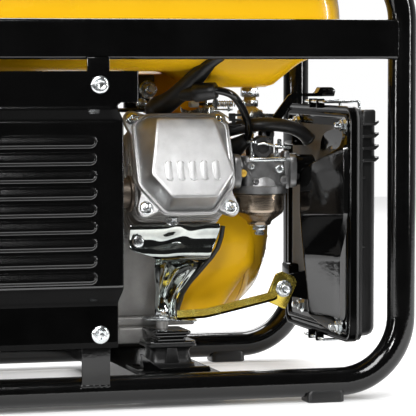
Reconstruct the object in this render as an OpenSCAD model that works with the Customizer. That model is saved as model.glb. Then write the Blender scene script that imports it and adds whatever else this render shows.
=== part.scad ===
// Portable generator: tube frame, OHV engine, alternator, fuel tank, panel.
// Millimetres, +Z up, +X along the crankshaft, -Y is the cylinder head side.
// Origin: centre of the footprint on the floor.

/* [Frame] */

// Outer length of the two side loops
frame_length = 600; // [560:5:680]
// Distance between the side loop centre lines
frame_depth = 340; // [330:5:400]
// Outer height of the loops above the floor
frame_height = 454; // [440:2:500]
// Diameter of the loop tube
tube_d = 28; // [24:1:32]
// Bend radius of the loop centre line
bend_r = 64; // [50:2:80]
// Height of the tank rail section
rail_h = 39; // [30:1:45]

/* [Engine] */

// Height of the crankshaft above the floor
axis_z = 168; // [160:1:175]
// Tilt of the cylinder above the horizontal
bank_tilt = 22; // [20:1:26]
// Position of the cylinder along the crankshaft
cyl_x = 76; // [70:1:80]
// Distance from crankshaft to valve cover joint
head_w = 148; // [144:1:152]

/* [Tank] */

// Length of the tank at its seam
tank_l = 468; // [420:2:480]
// Width of the tank at its seam
tank_w = 300; // [260:2:306]
// Height of the tank top above the floor
tank_top = 432; // [410:2:436]

/* [Air cleaner] */

// Height of the air cleaner
cleaner_h = 236; // [200:2:240]
// Width of the air cleaner
cleaner_w = 212; // [180:2:214]

/* [Hidden] */
$fn = 48;
tr = tube_d / 2;
tube_z = tr + 5;
loop_x = frame_length / 2 - tr;
loop_y = frame_depth / 2;
top_z = frame_height - tr;
rail_z = 357.5;
rail_front = loop_y + 14;
axis_y = 25;
centre_y = 10.5;
bank_rise = 10;
plate_x = 236;
cleaner_y = -160;
cleaner_z = 55;
seam_z = 357;
guard_y = -186;

// ---------- helpers ----------

// Moves a finished part so that its footprint is centred on the origin
module centred() {
  translate([0, centre_y, 0])
    children();
}

// Cylinder along X, Y or Z from a start point
module rod_x(x0, x1, y, z, r) {
  translate([x0, y, z])
    rotate([0, 90, 0])
      cylinder(h = x1 - x0, r = r);
}

module rod_y(x, y0, y1, z, r) {
  translate([x, y0, z])
    rotate([-90, 0, 0])
      cylinder(h = y1 - y0, r = r);
}

module rod_z(x, y, z0, z1, r) {
  translate([x, y, z0])
    cylinder(h = z1 - z0, r = r);
}

module block(x0, x1, y0, y1, z0, z1) {
  translate([x0, y0, z0])
    cube([x1 - x0, y1 - y0, z1 - z0]);
}

// Rounded rectangle in plan, exact corners
module round_rect(w, h, r) {
  union() {
    square([w - 2 * r, h], center = true);
    square([w, h - 2 * r], center = true);
    for (sx = [-1, 1])
      for (sy = [-1, 1])
        translate([sx * (w / 2 - r), sy * (h / 2 - r)])
          circle(r = r);
  }
}

// Block with rounded vertical edges
module round_block(x0, x1, y0, y1, z0, z1, r) {
  translate([(x0 + x1) / 2, (y0 + y1) / 2, z0])
    linear_extrude(z1 - z0)
      round_rect(x1 - x0, y1 - y0, r);
}

// Block with rounded edges running along X
module slab_x(x0, x1, y0, y1, z0, z1, r) {
  translate([x0, (y0 + y1) / 2, (z0 + z1) / 2])
    rotate([90, 0, 90])
      linear_extrude(x1 - x0)
        round_rect(y1 - y0, z1 - z0, r);
}

// Block with rounded edges running along Y
module slab_y(x0, x1, y0, y1, z0, z1, r) {
  translate([(x0 + x1) / 2, y1, (z0 + z1) / 2])
    rotate([90, 0, 0])
      linear_extrude(y1 - y0)
        round_rect(x1 - x0, z1 - z0, r);
}

module quarter_bend(r_line, r_tube, start) {
  rotate([0, 0, start])
    rotate_extrude(angle = 90)
      translate([r_line, 0])
        circle(r = r_tube);
}

// Closed tube loop in the X-Z plane
module tube_loop(y) {
  cx = loop_x - bend_r;
  z0 = tube_z + bend_r;
  z1 = top_z - bend_r;
  translate([0, y, 0]) {
    rod_x(-cx, cx, 0, tube_z, tr);
    rod_x(-cx, cx, 0, top_z, tr);
    rod_z(loop_x, 0, z0, z1, tr);
    rod_z(-loop_x, 0, z0, z1, tr);
    translate([cx, 0, z1])
      rotate([90, 0, 0])
        quarter_bend(bend_r, tr, 0);
    translate([-cx, 0, z1])
      rotate([90, 0, 0])
        quarter_bend(bend_r, tr, 90);
    translate([-cx, 0, z0])
      rotate([90, 0, 0])
        quarter_bend(bend_r, tr, 180);
    translate([cx, 0, z0])
      rotate([90, 0, 0])
        quarter_bend(bend_r, tr, 270);
  }
}

// Hexagon flange bolt head and washer face, pointing along +Z
module flange_bolt(af, shank_r, shank_l) {
  cylinder(h = af * 0.16, r = af * 0.85);
  cylinder(h = af * 0.68, r = af / sqrt(3), $fn = 6);
  translate([0, 0, -shank_l])
    cylinder(h = shank_l, r = shank_r);
}

// Moves children into the cylinder axis, +Z pointing to the head
module bank() {
  translate([cyl_x, axis_y, axis_z + bank_rise])
    rotate([90 - bank_tilt, 0, 0])
      children();
}

// Swept round tube through a list of points
function sweep_dir(p, i) =
  let (n = len(p) - 1)
  let (a = p[max(i - 1, 0)])
  let (b = p[min(i + 1, n)])
  (b - a) / norm(b - a);
function sweep_side(d) =
  let (s = cross(d, [0.31, 0.17, 0.93]))
  s / norm(s);
function sweep_ring(p, i, r, k) =
  let (d = sweep_dir(p, i))
  let (s = sweep_side(d))
  let (t = cross(d, s))
  [for (j = [0 : k - 1])
    p[i] + r * cos(360 * j / k) * s + r * sin(360 * j / k) * t];
module sweep_tube(p, r, k) {
  m = len(p);
  pts = [for (i = [0 : m - 1]) each sweep_ring(p, i, r, k)];
  side = [for (i = [0 : m - 2])
    for (j = [0 : k - 1])
      [i * k + j, (i + 1) * k + j,
       (i + 1) * k + (j + 1) % k, i * k + (j + 1) % k]];
  cap_a = [for (j = [0 : k - 1]) j];
  cap_b = [for (j = [k - 1 : -1 : 0]) (m - 1) * k + j];
  polyhedron(points = pts, faces = concat([cap_a], side, [cap_b]));
}

// Smooth route through hand-placed points
function mid_route(p, n) =
  let (m = len(p) - 1)
  [for (i = [0 : m - 1])
    for (s = [0 : n - 1])
      let (t = s / n)
      let (a = p[max(i - 1, 0)])
      let (b = p[i])
      let (c = p[i + 1])
      let (d = p[min(i + 2, m)])
      0.5 * (2 * b + (c - a) * t
        + (2 * a - 5 * b + 4 * c - d) * t * t
        + (3 * b - a - 3 * c + d) * t * t * t)];
function route(p, n) = concat(mid_route(p, n), [p[len(p) - 1]]);

// ---------- frame ----------

module near_side_loop() {
  color("#111111")
    tube_loop(-loop_y);
}

module far_side_loop() {
  color("#111111")
    tube_loop(loop_y);
}

module loop_cut() {
  big = frame_length;
  for (s = [-1, 1])
    for (z = [tube_z, top_z])
      rod_x(-big, big, s * loop_y, z, tr);
}

module top_cross_tubes() {
  color("#111111")
    difference() {
      union() {
        for (s = [-1, 1])
          rod_y(s * 205, -loop_y, loop_y, top_z, 11);
      }
      loop_cut();
    }
}

// Rectangular rail in front of the uprights, saddle cut at each end
module tank_rail(side) {
  half = loop_x - 9;
  difference() {
    translate([0, side * (loop_y + 3), rail_z])
      rotate([0, 90, 0])
        linear_extrude(2 * half, center = true)
          round_rect(rail_h, 22, 4);
    for (s = [-1, 1])
      rod_z(s * loop_x, side * loop_y, 200, 500, tr);
  }
}

module near_tank_rail() {
  color("#111111")
    tank_rail(-1);
}

module far_tank_rail() {
  color("#111111")
    tank_rail(1);
}

// Folded channel across the frame
module cross_channel(x0, x1) {
  difference() {
    union() {
      block(x0, x1, -loop_y, loop_y, 24, 28);
      block(x0, x0 + 4, -loop_y + 10, loop_y - 10, 12, 24);
      block(x1 - 4, x1, -loop_y + 10, loop_y - 10, 12, 24);
    }
    loop_cut();
    for (s = [-1, 1])
      block(x0 - 1, x1 + 1, s * loop_y - 20 + s * 12,
        s * loop_y + 20 + s * 12, 8, 29);
  }
}

module engine_cross_plate() {
  color("#141414")
    cross_channel(24, 110);
}

module alternator_cross_plate() {
  color("#141414")
    cross_channel(-205, -125);
}

module rubber_feet() {
  color("#1a1a1a")
    difference() {
      union() {
        for (sx = [-1, 1])
          for (sy = [-1, 1])
            translate([sx * 204, sy * loop_y, 0])
              linear_extrude(14)
                round_rect(38, 26, 5);
      }
      for (sy = [-1, 1])
        rod_x(-300, 300, sy * loop_y, tube_z, tr);
    }
}

mount_xy = [[67, -88], [67, 122], [-165, -60], [-165, 110]];

module engine_mounts() {
  color("#202020")
    for (p = mount_xy)
      translate([p[0], p[1], 28]) {
        cylinder(h = 26, r1 = 24, r2 = 17);
        cylinder(h = 6, r = 26);
      }
}

module mount_brackets() {
  color("#8d8f91")
    for (p = mount_xy)
      translate([p[0], p[1], 54])
        linear_extrude(4)
          round_rect(62, 40, 8);
}

// ---------- muffler and guard ----------

module guard_brackets() {
  color("#121212") {
    block(-38, -14, -186, -184, 310, 343);
    block(-38, -14, -186, -184, 343, 350);
    block(-46, -14, -184.5, -182.5, 40, 84);
    block(-46, -14, -182.5, -170, 34, 42);
    block(-246, -222, -186, -184, 310, 350);
    block(-246, -192, -184.5, -182.5, 40, 84);
    block(-220, -192, -182.5, -170, 34, 42);
  }
}

louvre_count = 9;
louvre_pitch = 16.2;

module louvre_bar(x0, x1, z) {
  slab_y(x0, x1, -205, -199.5, z - 6, z + 6, 5.9);
}

// Section of the guard sheet, and of the closing plate at each end
sheet_line = [[-188, 327], [-188, 293], [-200.5, 279], [-200.5, 120],
  [-188, 104], [-188, 62], [-186.5, 62], [-186.5, 104.6],
  [-199, 120.5], [-199, 278.5], [-186.5, 292.4], [-186.5, 327]];
end_line = [[-200, 121], [-200, 278], [-187, 292], [-172, 292],
  [-172, 105], [-187, 105]];

module section_x(x0, x1, line) {
  translate([x0, 0, 0])
    rotate([90, 0, 90])
      linear_extrude(x1 - x0)
        polygon(line);
}

// Pressed sheet guard with a raised louvred centre
module muffler_guard() {
  color("#0f0f0f")
    difference() {
      union() {
        section_x(-262, -6, sheet_line);
        section_x(-262, -260.5, end_line);
        section_x(-7.5, -6, end_line);
        block(-20, 13, -188, -186.5, 294, 327);
        for (i = [0 : louvre_count - 1]) {
          louvre_bar(-124, -28, 131 + i * louvre_pitch);
          louvre_bar(-240, -144, 131 + i * louvre_pitch);
        }
      }
      for (x = [-26, -234])
        for (z = [75, 314])
          rod_y(x, -190, -184, z, 3.3);
      for (i = [0 : louvre_count - 1])
        for (x = [-120, -236])
          block(x, x + 88, -203.5, -198, 129 + i * louvre_pitch,
            131.5 + i * louvre_pitch);
    }
}

module guard_bolts() {
  color("#c9ccce")
    for (x = [-26, -234])
      for (z = [75, 314])
        translate([x, -188, z])
          rotate([90, 0, 0])
            flange_bolt(10, 3, 1.4);
}

module muffler() {
  color("#77736c") {
    difference() {
      slab_x(-248, -24, -166, -88, 112, 270, 30);
      slab_x(-246, -26, -164, -90, 114, 268, 28);
      rod_x(-30, -20, -107, 210, 13);
      rod_x(-255, -240, -127, 170, 10);
    }
    difference() {
      slab_x(-140, -132, -168.5, -85.5, 109.5, 272.5, 32);
      slab_x(-141, -131, -166, -88, 112, 270, 30);
    }
  }
}

module exhaust_pipe() {
  color("#8a7f74") {
    difference() {
      union() {
        rod_x(-24, 27.5, -103, 205, 14);
        rod_x(22, 25.8, -103, 205, 18);
      }
      rod_x(-25, 28, -103, 205, 11);
    }
    difference() {
      rod_x(-272, -248, -127, 170, 12);
      rod_x(-273, -247, -127, 170, 10);
    }
  }
}

// ---------- fuel tank ----------

// Thin rounded slab used as one station of the tank
module tank_slice(x0, x1, w, z, r) {
  hull()
    for (x = [x0 + r, x1 - r])
      for (y = [-w / 2 + r, w / 2 - r])
        translate([x, y, z])
          cylinder(h = 1, r = r, $fn = 32);
}

module tank_solid(t) {
  hull() {
    tank_slice(-tank_l / 2 + 2 + t, tank_l / 2 + 4 - t,
      tank_w - 2 * t, seam_z, 34 - t);
    tank_slice(-tank_l / 2 + 22 + t, tank_l / 2 - 16 - t,
      tank_w - 44 - 2 * t, tank_top - 11 - t, 34);
    tank_slice(-tank_l / 2 + 44 + t, tank_l / 2 - 48 - t,
      tank_w - 84 - 2 * t, tank_top - 1 - t, 30);
  }
  hull() {
    tank_slice(-tank_l / 2 + 2 + t, tank_l / 2 + 4 - t,
      tank_w - 2 * t, seam_z - 1, 34 - t);
    tank_slice(-tank_l / 2 + 30 + t, tank_l / 2 - 44 - t,
      tank_w - 40 - 2 * t, 326 + t, 34);
  }
}

module fuel_tank() {
  color("#f2c200")
    difference() {
      union() {
        tank_solid(0);
        difference() {
          round_block(-tank_l / 2 - 6, tank_l / 2 + 12,
            -tank_w / 2 - 6, tank_w / 2 + 6, seam_z - 2, seam_z, 38);
          block(-400, 400, loop_y - 9, loop_y + 40, 340, 380);
          block(-400, 400, -loop_y - 40, -loop_y + 9, 340, 380);
        }
        block(118, 180, -118, 60, 309, 332);
        rod_z(-20, 0, 420, tank_top + 6, 30);
        rod_z(120, 40, 425, tank_top + 2, 24);
      }
      difference() {
        tank_solid(1.6);
        block(-400, 400, -200, 200, 355, 358);
      }
      block(-180, 160, -110, 110, 350, 362);
      block(120, 178, -116, 58, 311, 333);
      rod_z(-20, 0, 410, tank_top + 8, 27);
    }
}

module fuel_cap() {
  color("#1b1b1b") {
    difference() {
      rod_z(-20, 0, tank_top - 8, tank_top + 7, 26.85);
      rod_z(-20, 0, tank_top - 9, tank_top + 6, 24);
    }
    rod_z(-20, 0, tank_top + 6.5, tank_top + 20, 34);
    for (i = [0 : 11])
      rotate_about(-20, 0, i * 30)
        rod_z(13, 0, tank_top + 6.5, tank_top + 20, 3);
  }
}

module rotate_about(x, y, a) {
  translate([x, y, 0])
    rotate([0, 0, a])
      translate([-x, -y, 0])
        children();
}

module tank_bolts() {
  color("#c9ccce")
    for (x = [-225, 225])
      for (s = [-1, 1])
        translate([x, s * 155.6, seam_z])
          flange_bolt(6, 2, 1);
}

// ---------- engine ----------

module crankcase() {
  color("#b9bcbe")
    difference() {
      union() {
        slab_y(22, 112, -40, 108, 66, 252, 18);
        block(30, 104, -100, 134, 58, 66);
        bank()
          round_block(-46, 34, -46, 46, 30, 62, 10);
      }
      slab_y(30, 104, -32, 100, 74, 244, 12);
      rod_x(15, 40, axis_y, axis_z, 12.05);
      rod_x(100, 120, axis_y, axis_z, 31);
      bank()
        rod_z(0, 0, 20, 70, 36);
      rod_y(50, 90, 130, 95, 10);
    }
}

module crankcase_cover() {
  color("#b0b3b5")
    difference() {
      union() {
        rod_x(112, 118, axis_y, axis_z, 78);
        rod_x(118, 124, axis_y, axis_z, 40);
      }
      rod_x(110, 126, axis_y, axis_z, 12.05);
    }
}

module cylinder_barrel() {
  color("#c3c6c8")
    difference() {
      bank()
        difference() {
          union() {
            rod_z(0, 0, 58, head_w - 36, 40);
            for (i = [0 : 5])
              round_block(-50, 46, -50, 50, 64 + i * 8, 67 + i * 8, 12);
          }
          rod_z(0, 0, 50, head_w - 30, 34);
        }
      bank()
        round_block(-46.2, 34.2, -46.2, 46.2, 20, 62, 10);
      block(10, 130, -40.05, 130, 60, 260);
      rod_x(111.6, 130, axis_y, axis_z, 92.6);
    }
}

module cylinder_head() {
  color("#c3c6c8") {
    bank()
      difference() {
        union() {
          round_block(-48, 46, -50, 50, head_w - 36, head_w - 28, 12);
          round_block(-44, 42, -46, 46, head_w - 28, head_w, 10);
          for (i = [0 : 1])
            round_block(-48, 44, -49, 49, head_w - 22 + i * 8,
              head_w - 19 + i * 8, 12);
        }
        rod_z(0, 0, head_w - 40, head_w - 33, 34);
      }
    rod_z(112, -72, 262, 282, 5);
    rod_z(112, -72, 281, 290, 3);
  }
}

cover_holes = [[-48, 46], [48, 46], [-43, -47], [43, -47]];
dome_base = [[-46, 38], [-34, 47], [34, 47], [46, 38], [46, -22],
  [24, -50], [-24, -50], [-46, -22]];
dome_face = [[-28.5, 38], [28.5, 38], [41.5, -20], [22.5, -45],
  [-22.5, -45], [-41.5, -20]];

module valve_cover() {
  color("#d5d7d8")
    bank()
      difference() {
        union() {
          translate([0, 0, head_w + 1]) {
            linear_extrude(6)
              polygon([[-52, 50], [52, 50], [48, -50], [-48, -50]]);
            for (p = cover_holes)
              translate([p[0], p[1], 0])
                cylinder(h = 8, r = 9.5);
            hull() {
              linear_extrude(8)
                polygon(dome_base);
              translate([0, 0, 30])
                linear_extrude(3)
                  polygon(dome_face);
            }
          }
          for (i = [-2 : 2])
            slab_y(i * 12 - 3, i * 12 + 3, -28, -8, head_w + 32,
              head_w + 35.2, 1.5);
        }
        translate([0, 0, head_w])
          hull() {
            linear_extrude(5)
              polygon(dome_base * 0.92);
            translate([0, 0, 29])
              linear_extrude(1)
                polygon(dome_face * 0.92);
          }
        for (p = cover_holes)
          rod_z(p[0], p[1], head_w - 1, head_w + 12, 3.2);
      }
}

module cover_bolts() {
  color("#c9ccce")
    bank()
      for (p = cover_holes)
        translate([p[0], p[1], head_w + 9])
          flange_bolt(8, 2.9, 8);
}

module spark_plug() {
  color("#d9d9d9")
    translate([58, -72, 0]) {
      translate([0, 0, 272.5])
        cylinder(h = 10, r = 10.5, $fn = 6);
      rod_z(0, 0, 282, 289.5, 5.5);
    }
}

module plug_boot() {
  color("#141414")
    difference() {
      union() {
        rod_z(58, -72, 283.5, 292, 9);
        translate([58, -72, 291])
          sphere(r = 9.8);
        translate([58, -72, 291])
          rotate([0, 66, -74])
            cylinder(h = 82, r1 = 8.6, r2 = 5.6);
        sweep_tube([[73, -134, 316], [84, -141, 311], [95, -145.6, 307]],
          6.6, 20);
      }
      rod_z(58, -72, 270, 290, 5.6);
    }
}

lead_pts = [[96.5, -145.8, 306.4], [106, -141, 303], [119, -131, 296],
  [134, -118, 282], [144, -105, 269], [147, -96, 260], [147, -88, 254]];

module ignition_lead() {
  color("#101010")
    sweep_tube(route(lead_pts, 3), 3.6, 10);
}

module fan_housing() {
  color("#f2c200")
    difference() {
      rod_x(112, 160, axis_y, axis_z, 92);
      rod_x(111, 158, axis_y, axis_z, 90);
      rod_x(150, 165, axis_y, axis_z, 66);
    }
  color("#f2c200")
    translate([0, -50.5, 0])
      rotate([90, 0, 0])
        linear_extrude(1.5)
          polygon([[68, 79], [114, 79], [114, 148], [100, 148]]);
}

module recoil_housing() {
  color("#f2c200")
    difference() {
      union() {
        translate([160, axis_y, axis_z])
          rotate([0, 90, 0])
            cylinder(h = 26, r1 = 90, r2 = 70);
        rod_x(186, 190, axis_y, axis_z, 60);
        block(164, 182, 95, 122, 178, 202);
      }
      translate([159, axis_y, axis_z])
        rotate([0, 90, 0])
          cylinder(h = 25, r1 = 88, r2 = 68);
      rod_y(173, 80, 130, 190, 4);
      for (i = [0 : 7])
        rotate_x_about(i * 45)
          slab_x(180, 195, axis_y - 8, axis_y + 8, axis_z + 36,
            axis_z + 62, 7);
    }
}

module rotate_x_about(a) {
  translate([0, axis_y, axis_z])
    rotate([a, 0, 0])
      translate([0, -axis_y, -axis_z])
        children();
}

module lower_shroud() {
  color("#c4c7c9")
    translate([28, 0, 0])
      rotate([90, 0, 90])
        linear_extrude(82)
          polygon([[-104, 174], [-100, 150], [-84, 120], [-62, 96],
            [-60, 74], [-46, 74], [-46, 76], [-58, 76], [-60, 97],
            [-82, 121], [-98, 151], [-102, 174]]);
}

breather_pts = [[124, -60, 259], [134, -67, 265], [153, -77, 271],
  [176, -85, 273], [202, -82, 271], [223, -75, 263]];

module breather_hose() {
  color("#1c1c1c")
    sweep_tube(route(breather_pts, 4), 6.8, 12);
}

carb_y = -92;

module carburettor() {
  color("#9c9fa1") {
    difference() {
      union() {
        rod_x(122.3, 214, carb_y, 226, 15);
        block(129, 135, carb_y - 27, carb_y + 27, 207, 245);
        block(196, 202, carb_y - 30, carb_y + 30, 205, 247);
        block(140, 186, carb_y - 20, carb_y + 20, 208, 240);
        rod_z(162, carb_y, 204, 210, 28);
        rod_z(160, carb_y, 240, 250, 11);
        block(170, 182, -78, -74, 236, 268);
        rod_y(176, -78, -68.5, 262, 3);
      }
      rod_x(120, 215, carb_y, 226, 11);
      rod_z(150, carb_y - 16, 200, 260, 2.55);
    }
  }
}

module float_bowl() {
  color("#8f7b60")
    difference() {
      union() {
        rod_z(162, carb_y, 184, 204, 26);
        translate([162, carb_y, 176])
          cylinder(h = 8, r1 = 12, r2 = 26);
      }
      rod_z(162, carb_y, 186, 205, 24.5);
      rod_z(162, carb_y, 170, 190, 5);
    }
}

module bowl_bolt() {
  color("#b99b5e") {
    translate([162, carb_y, 166])
      cylinder(h = 10, r = 8, $fn = 6);
    rod_z(162, carb_y, 176, 203, 4.9);
  }
}

// ---------- air cleaner ----------

module cleaner_outline(inset) {
  w = cleaner_w - 2 * inset;
  h = cleaner_h - 2 * inset;
  translate([0, cleaner_y + cleaner_w / 2, cleaner_z + cleaner_h / 2])
    rotate([90, 0, 90])
      round_rect(w, h, 14 - inset / 2);
}

module cleaner_slab(x0, x1, inset) {
  translate([x0, cleaner_y + cleaner_w / 2,
      cleaner_z + cleaner_h / 2])
    rotate([90, 0, 90])
      linear_extrude(x1 - x0)
        round_rect(cleaner_w - 2 * inset, cleaner_h - 2 * inset,
          14 - inset / 2);
}

module filter_plate() {
  color("#101010")
    difference() {
      union() {
        cleaner_slab(plate_x, plate_x + 1.5, 0);
        cleaner_slab(plate_x, plate_x + 7, 0);
        hull() {
          slab_x(plate_x, plate_x + 1, -150, -30, 62, 262, 14);
          slab_x(plate_x - 21, plate_x - 20, -138, -46, 76, 238, 10);
        }
      }
      cleaner_slab(plate_x + 1.5, plate_x + 8, 1.5);
      hull() {
        slab_x(plate_x + 1, plate_x + 2, -148, -32, 64, 260, 14);
        slab_x(plate_x - 19.5, plate_x - 18.5, -136, -48, 78, 236, 10);
      }
      rod_x(plate_x - 40, plate_x, carb_y, 226, 12);
    }
  color("#101010")
    for (z = [cleaner_z - 3.5, cleaner_z + cleaner_h + 3.5])
      for (y = [-74, -50])
        difference() {
          block(plate_x - 6.5, plate_x + 1.5, y, y + 4,
            min(z - 3, cleaner_z + cleaner_h - 4),
            max(z + 3, cleaner_z + 4));
          rod_y(plate_x - 4, y - 1, y + 5, z, 1.65);
        }
}

module filter_element() {
  color("#33322e")
    slab_x(plate_x + 2, plate_x + 24, cleaner_y + 20,
      cleaner_y + cleaner_w - 20, cleaner_z + 20,
      cleaner_z + cleaner_h - 20, 10);
}

module filter_seal() {
  color("#7b7c7c")
    difference() {
      cleaner_slab(plate_x + 7, plate_x + 10, 0.5);
      cleaner_slab(plate_x + 6, plate_x + 11, 8);
    }
}

module filter_cover() {
  color("#1d1e1f")
    difference() {
      union() {
        cleaner_slab(plate_x + 10, plate_x + 31, 3);
        for (i = [0 : 3])
          slab_x(plate_x + 14, plate_x + 28, cleaner_y + 1,
            cleaner_y + 6, 236 + i * 12, 242 + i * 12, 2);
      }
      cleaner_slab(plate_x + 9, plate_x + 28.5, 5.5);
    }
}

// Wire bail clip: pivot ears, two arms and a cross bar
module wire_clip(z_pivot, z_bar, y0, y1) {
  for (y = [y0, y1]) {
    rod_x(plate_x - 4, plate_x + 33.5, y, z_pivot, 1.6);
    rod_z(plate_x + 33.5, y, min(z_pivot, z_bar),
      max(z_pivot, z_bar), 1.6);
  }
  rod_y(plate_x - 4, y0, y1, z_pivot, 1.6);
  rod_y(plate_x + 33.5, y0, y1, z_bar, 1.6);
}

module upper_clip() {
  color("#c9ccce")
    wire_clip(cleaner_z + cleaner_h + 3.5, cleaner_z + cleaner_h - 12,
      -90, -30);
}

module lower_clip() {
  color("#c9ccce")
    wire_clip(cleaner_z - 3.5, cleaner_z + 12, -90, -30);
}

module cleaner_stay() {
  color("#c2a24a") {
    block(100, 124, -100, -96, 74, 96);
    translate([112, -98, 84])
      rotate([0, -12, 0])
        block(0, 80, -1.5, 1.5, -5, 5);
    block(184, 214.8, -100, -96, 88, 122);
    translate([203, -99.9, 108])
      rotate([90, 0, 0])
        flange_bolt(10, 3, 1);
  }
}

// ---------- controls on the engine ----------

module choke_lever() {
  color("#151515")
    difference() {
      union() {
        rod_y(176, -73, -69, 262, 8);
        translate([0, -69, 0])
          rotate([90, 0, 0])
            linear_extrude(3)
              polygon([[172, 264.8], [179.6, 259.3], [208, 300],
                [234, 300], [234, 303.4], [203, 303.4], [199, 300]]);
        translate([0, -60, 0])
          rotate([90, 0, 0])
            linear_extrude(12)
              polygon([[226, 300], [249, 300], [249, 306], [245, 309],
                [235, 309], [230, 303.4], [226, 303.4]]);
      }
      rod_y(176, -79, -60, 262, 3.05);
    }
}

module governor_arm() {
  color("#b9bbbd")
    difference() {
      union() {
        rod_z(112, -72, 282.4, 289, 6);
        block(112, 140, -76, -68, 286, 288);
      }
      rod_z(112, -72, 281, 290, 3.05);
    }
}

module throttle_shaft() {
  color("#c9ccce") {
    rod_z(150, carb_y - 16, 212, 256, 2.5);
    translate([150, carb_y - 16, 254])
      rotate([0, 0, 20])
        block(-2, 24, -4, 4, 0, 2);
  }
}

module fuel_tap() {
  color("#c0a050")
    difference() {
      union() {
        rod_z(168, -40, 288, 309, 6);
        block(156, 180, -52, -28, 270, 288);
        rod_z(168, -40, 256, 270, 5);
      }
      rod_z(168, -40, 250, 310, 3);
      rod_y(168, -60, -45, 279, 4.1);
    }
}

module tap_lever() {
  color("#c9ccce") {
    rod_y(168, -64, -45.5, 279, 4);
    block(164, 192, -64, -60, 275, 283);
  }
}

fuel_pts = [[168, -40, 255.5], [168, -40, 240], [170, -46, 226],
  [172, -58, 218], [172, -67, 217], [172, -71.5, 217]];

module fuel_hose() {
  color("#2b2b2b")
    sweep_tube(route(fuel_pts, 3), 4, 10);
}

module oil_dipstick() {
  color("#202020") {
    rod_y(50, 96, 112, 95, 9.95);
    rod_y(50, 110, 122, 95, 14);
    block(36, 64, 114, 126, 92, 98);
  }
}

// ---------- alternator ----------

module alternator_housing() {
  color("#a9acae") {
    difference() {
      union() {
        rod_x(-200, 22, axis_y, axis_z, 88);
        for (i = [0 : 11])
          rotate_x_about(i * 30 + 15)
            block(-190, 10, axis_y - 2, axis_y + 2, axis_z + 86,
              axis_z + 92);
      }
      rod_x(-210, 24, axis_y, axis_z, 62);
    }
    block(-195, -135, -82, 132, 58, 76);
  }
}

module end_cover() {
  color("#1f2123")
    difference() {
      rod_x(-240, -200, axis_y, axis_z, 86);
      difference() {
        rod_x(-237, -199, axis_y, axis_z, 83);
        rod_x(-238, -220, axis_y, axis_z, 22);
      }
      rod_x(-230, -199, axis_y, axis_z, 12.05);
      for (i = [0 : 11])
        rotate_x_about(i * 30)
          slab_x(-245, -230, axis_y - 4, axis_y + 4, axis_z + 34,
            axis_z + 70, 3);
    }
}

module crank_rotor() {
  color("#9a9c9e") {
    rod_x(-226, 120, axis_y, axis_z, 12);
    rod_x(120, 156, axis_y, axis_z, 12);
    rod_x(-190, -20, axis_y, axis_z, 58);
    rod_x(40, 50, axis_y, axis_z, 28);
    rod_x(84, 94, axis_y, axis_z, 28);
    rod_x(128, 146, axis_y, axis_z, 74);
    for (i = [0 : 11])
      rotate_x_about(i * 30)
        block(146, 156, axis_y - 2, axis_y + 2, axis_z + 30,
          axis_z + 70);
  }
}

// ---------- control panel ----------

module control_panel() {
  color("#1a1b1c")
    difference() {
      slab_y(-250, -10, 138, 160, 196, 336, 8);
      slab_y(-247, -13, 136, 157, 199, 333, 6);
      block(-93, -75, 150, 162, 232, 248);
      block(-55, -33, 150, 162, 230, 250);
    }
}

module outlet_sockets() {
  color("#2a2b2d")
    for (x = [-205, -140])
      difference() {
        union() {
          slab_y(x - 26, x + 26, 160, 164, 212, 272, 6);
          rod_y(x, 160, 170, 240, 21);
          block(x - 24, x - 19, 163, 175, 263.5, 270);
          block(x + 19, x + 24, 163, 175, 263.5, 270);
        }
        rod_y(x, 163, 172, 240, 18);
        for (s = [-1, 1])
          rod_y(x + s * 7, 161.5, 166, 240, 2.5);
        rod_x(x - 30, x + 30, 172, 266.5, 2.45);
      }
}

module socket_cover(x) {
  color("#22252a") {
    slab_y(x - 18, x + 18, 170.5, 174, 220, 264, 6);
    rod_x(x - 23.5, x + 23.5, 172, 266.5, 2.4);
    block(x - 16, x + 16, 171, 173.5, 262, 266.5);
  }
}

module left_cover() {
  socket_cover(-140);
}

module right_cover() {
  socket_cover(-205);
}

module breaker_lever() {
  color("#151515") {
    rod_x(-92, -76, 162, 240, 5);
    block(-88, -80, 162, 176, 237, 243);
  }
}

module engine_switch() {
  color("#a01818") {
    rod_x(-54, -34, 161.5, 240, 7);
    block(-54, -34, 162, 171, 240, 247);
  }
}

module voltmeter() {
  color("#d9dadb") {
    slab_y(-110, -54, 160, 166, 282, 326, 4);
    slab_y(-104, -60, 166, 167, 288, 320, 3);
  }
}

// ---------- recoil starter ----------

module pull_handle() {
  color("#191919") {
    slab_x(152, 194, 126, 140, 181, 199, 6.9);
    rod_y(173, 122.5, 127, 190, 6);
  }
}

module starter_rope() {
  color("#222222")
    rod_y(173, 84, 122.5, 190, 2.5);
}

centred() near_side_loop();
centred() far_side_loop();
centred() top_cross_tubes();
centred() near_tank_rail();
centred() far_tank_rail();
centred() engine_cross_plate();
centred() alternator_cross_plate();
centred() rubber_feet();
centred() engine_mounts();
centred() mount_brackets();
centred() guard_brackets();
centred() muffler_guard();
centred() guard_bolts();
centred() muffler();
centred() exhaust_pipe();
centred() fuel_tank();
centred() fuel_cap();
centred() tank_bolts();
centred() crankcase();
centred() crankcase_cover();
centred() cylinder_barrel();
centred() cylinder_head();
centred() valve_cover();
centred() cover_bolts();
centred() spark_plug();
centred() plug_boot();
centred() ignition_lead();
centred() fan_housing();
centred() recoil_housing();
centred() lower_shroud();
centred() breather_hose();
centred() carburettor();
centred() float_bowl();
centred() bowl_bolt();
centred() filter_plate();
centred() filter_element();
centred() filter_seal();
centred() filter_cover();
centred() upper_clip();
centred() lower_clip();
centred() cleaner_stay();
centred() choke_lever();
centred() governor_arm();
centred() throttle_shaft();
centred() fuel_tap();
centred() tap_lever();
centred() fuel_hose();
centred() oil_dipstick();
centred() alternator_housing();
centred() end_cover();
centred() crank_rotor();
centred() control_panel();
centred() outlet_sockets();
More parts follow.
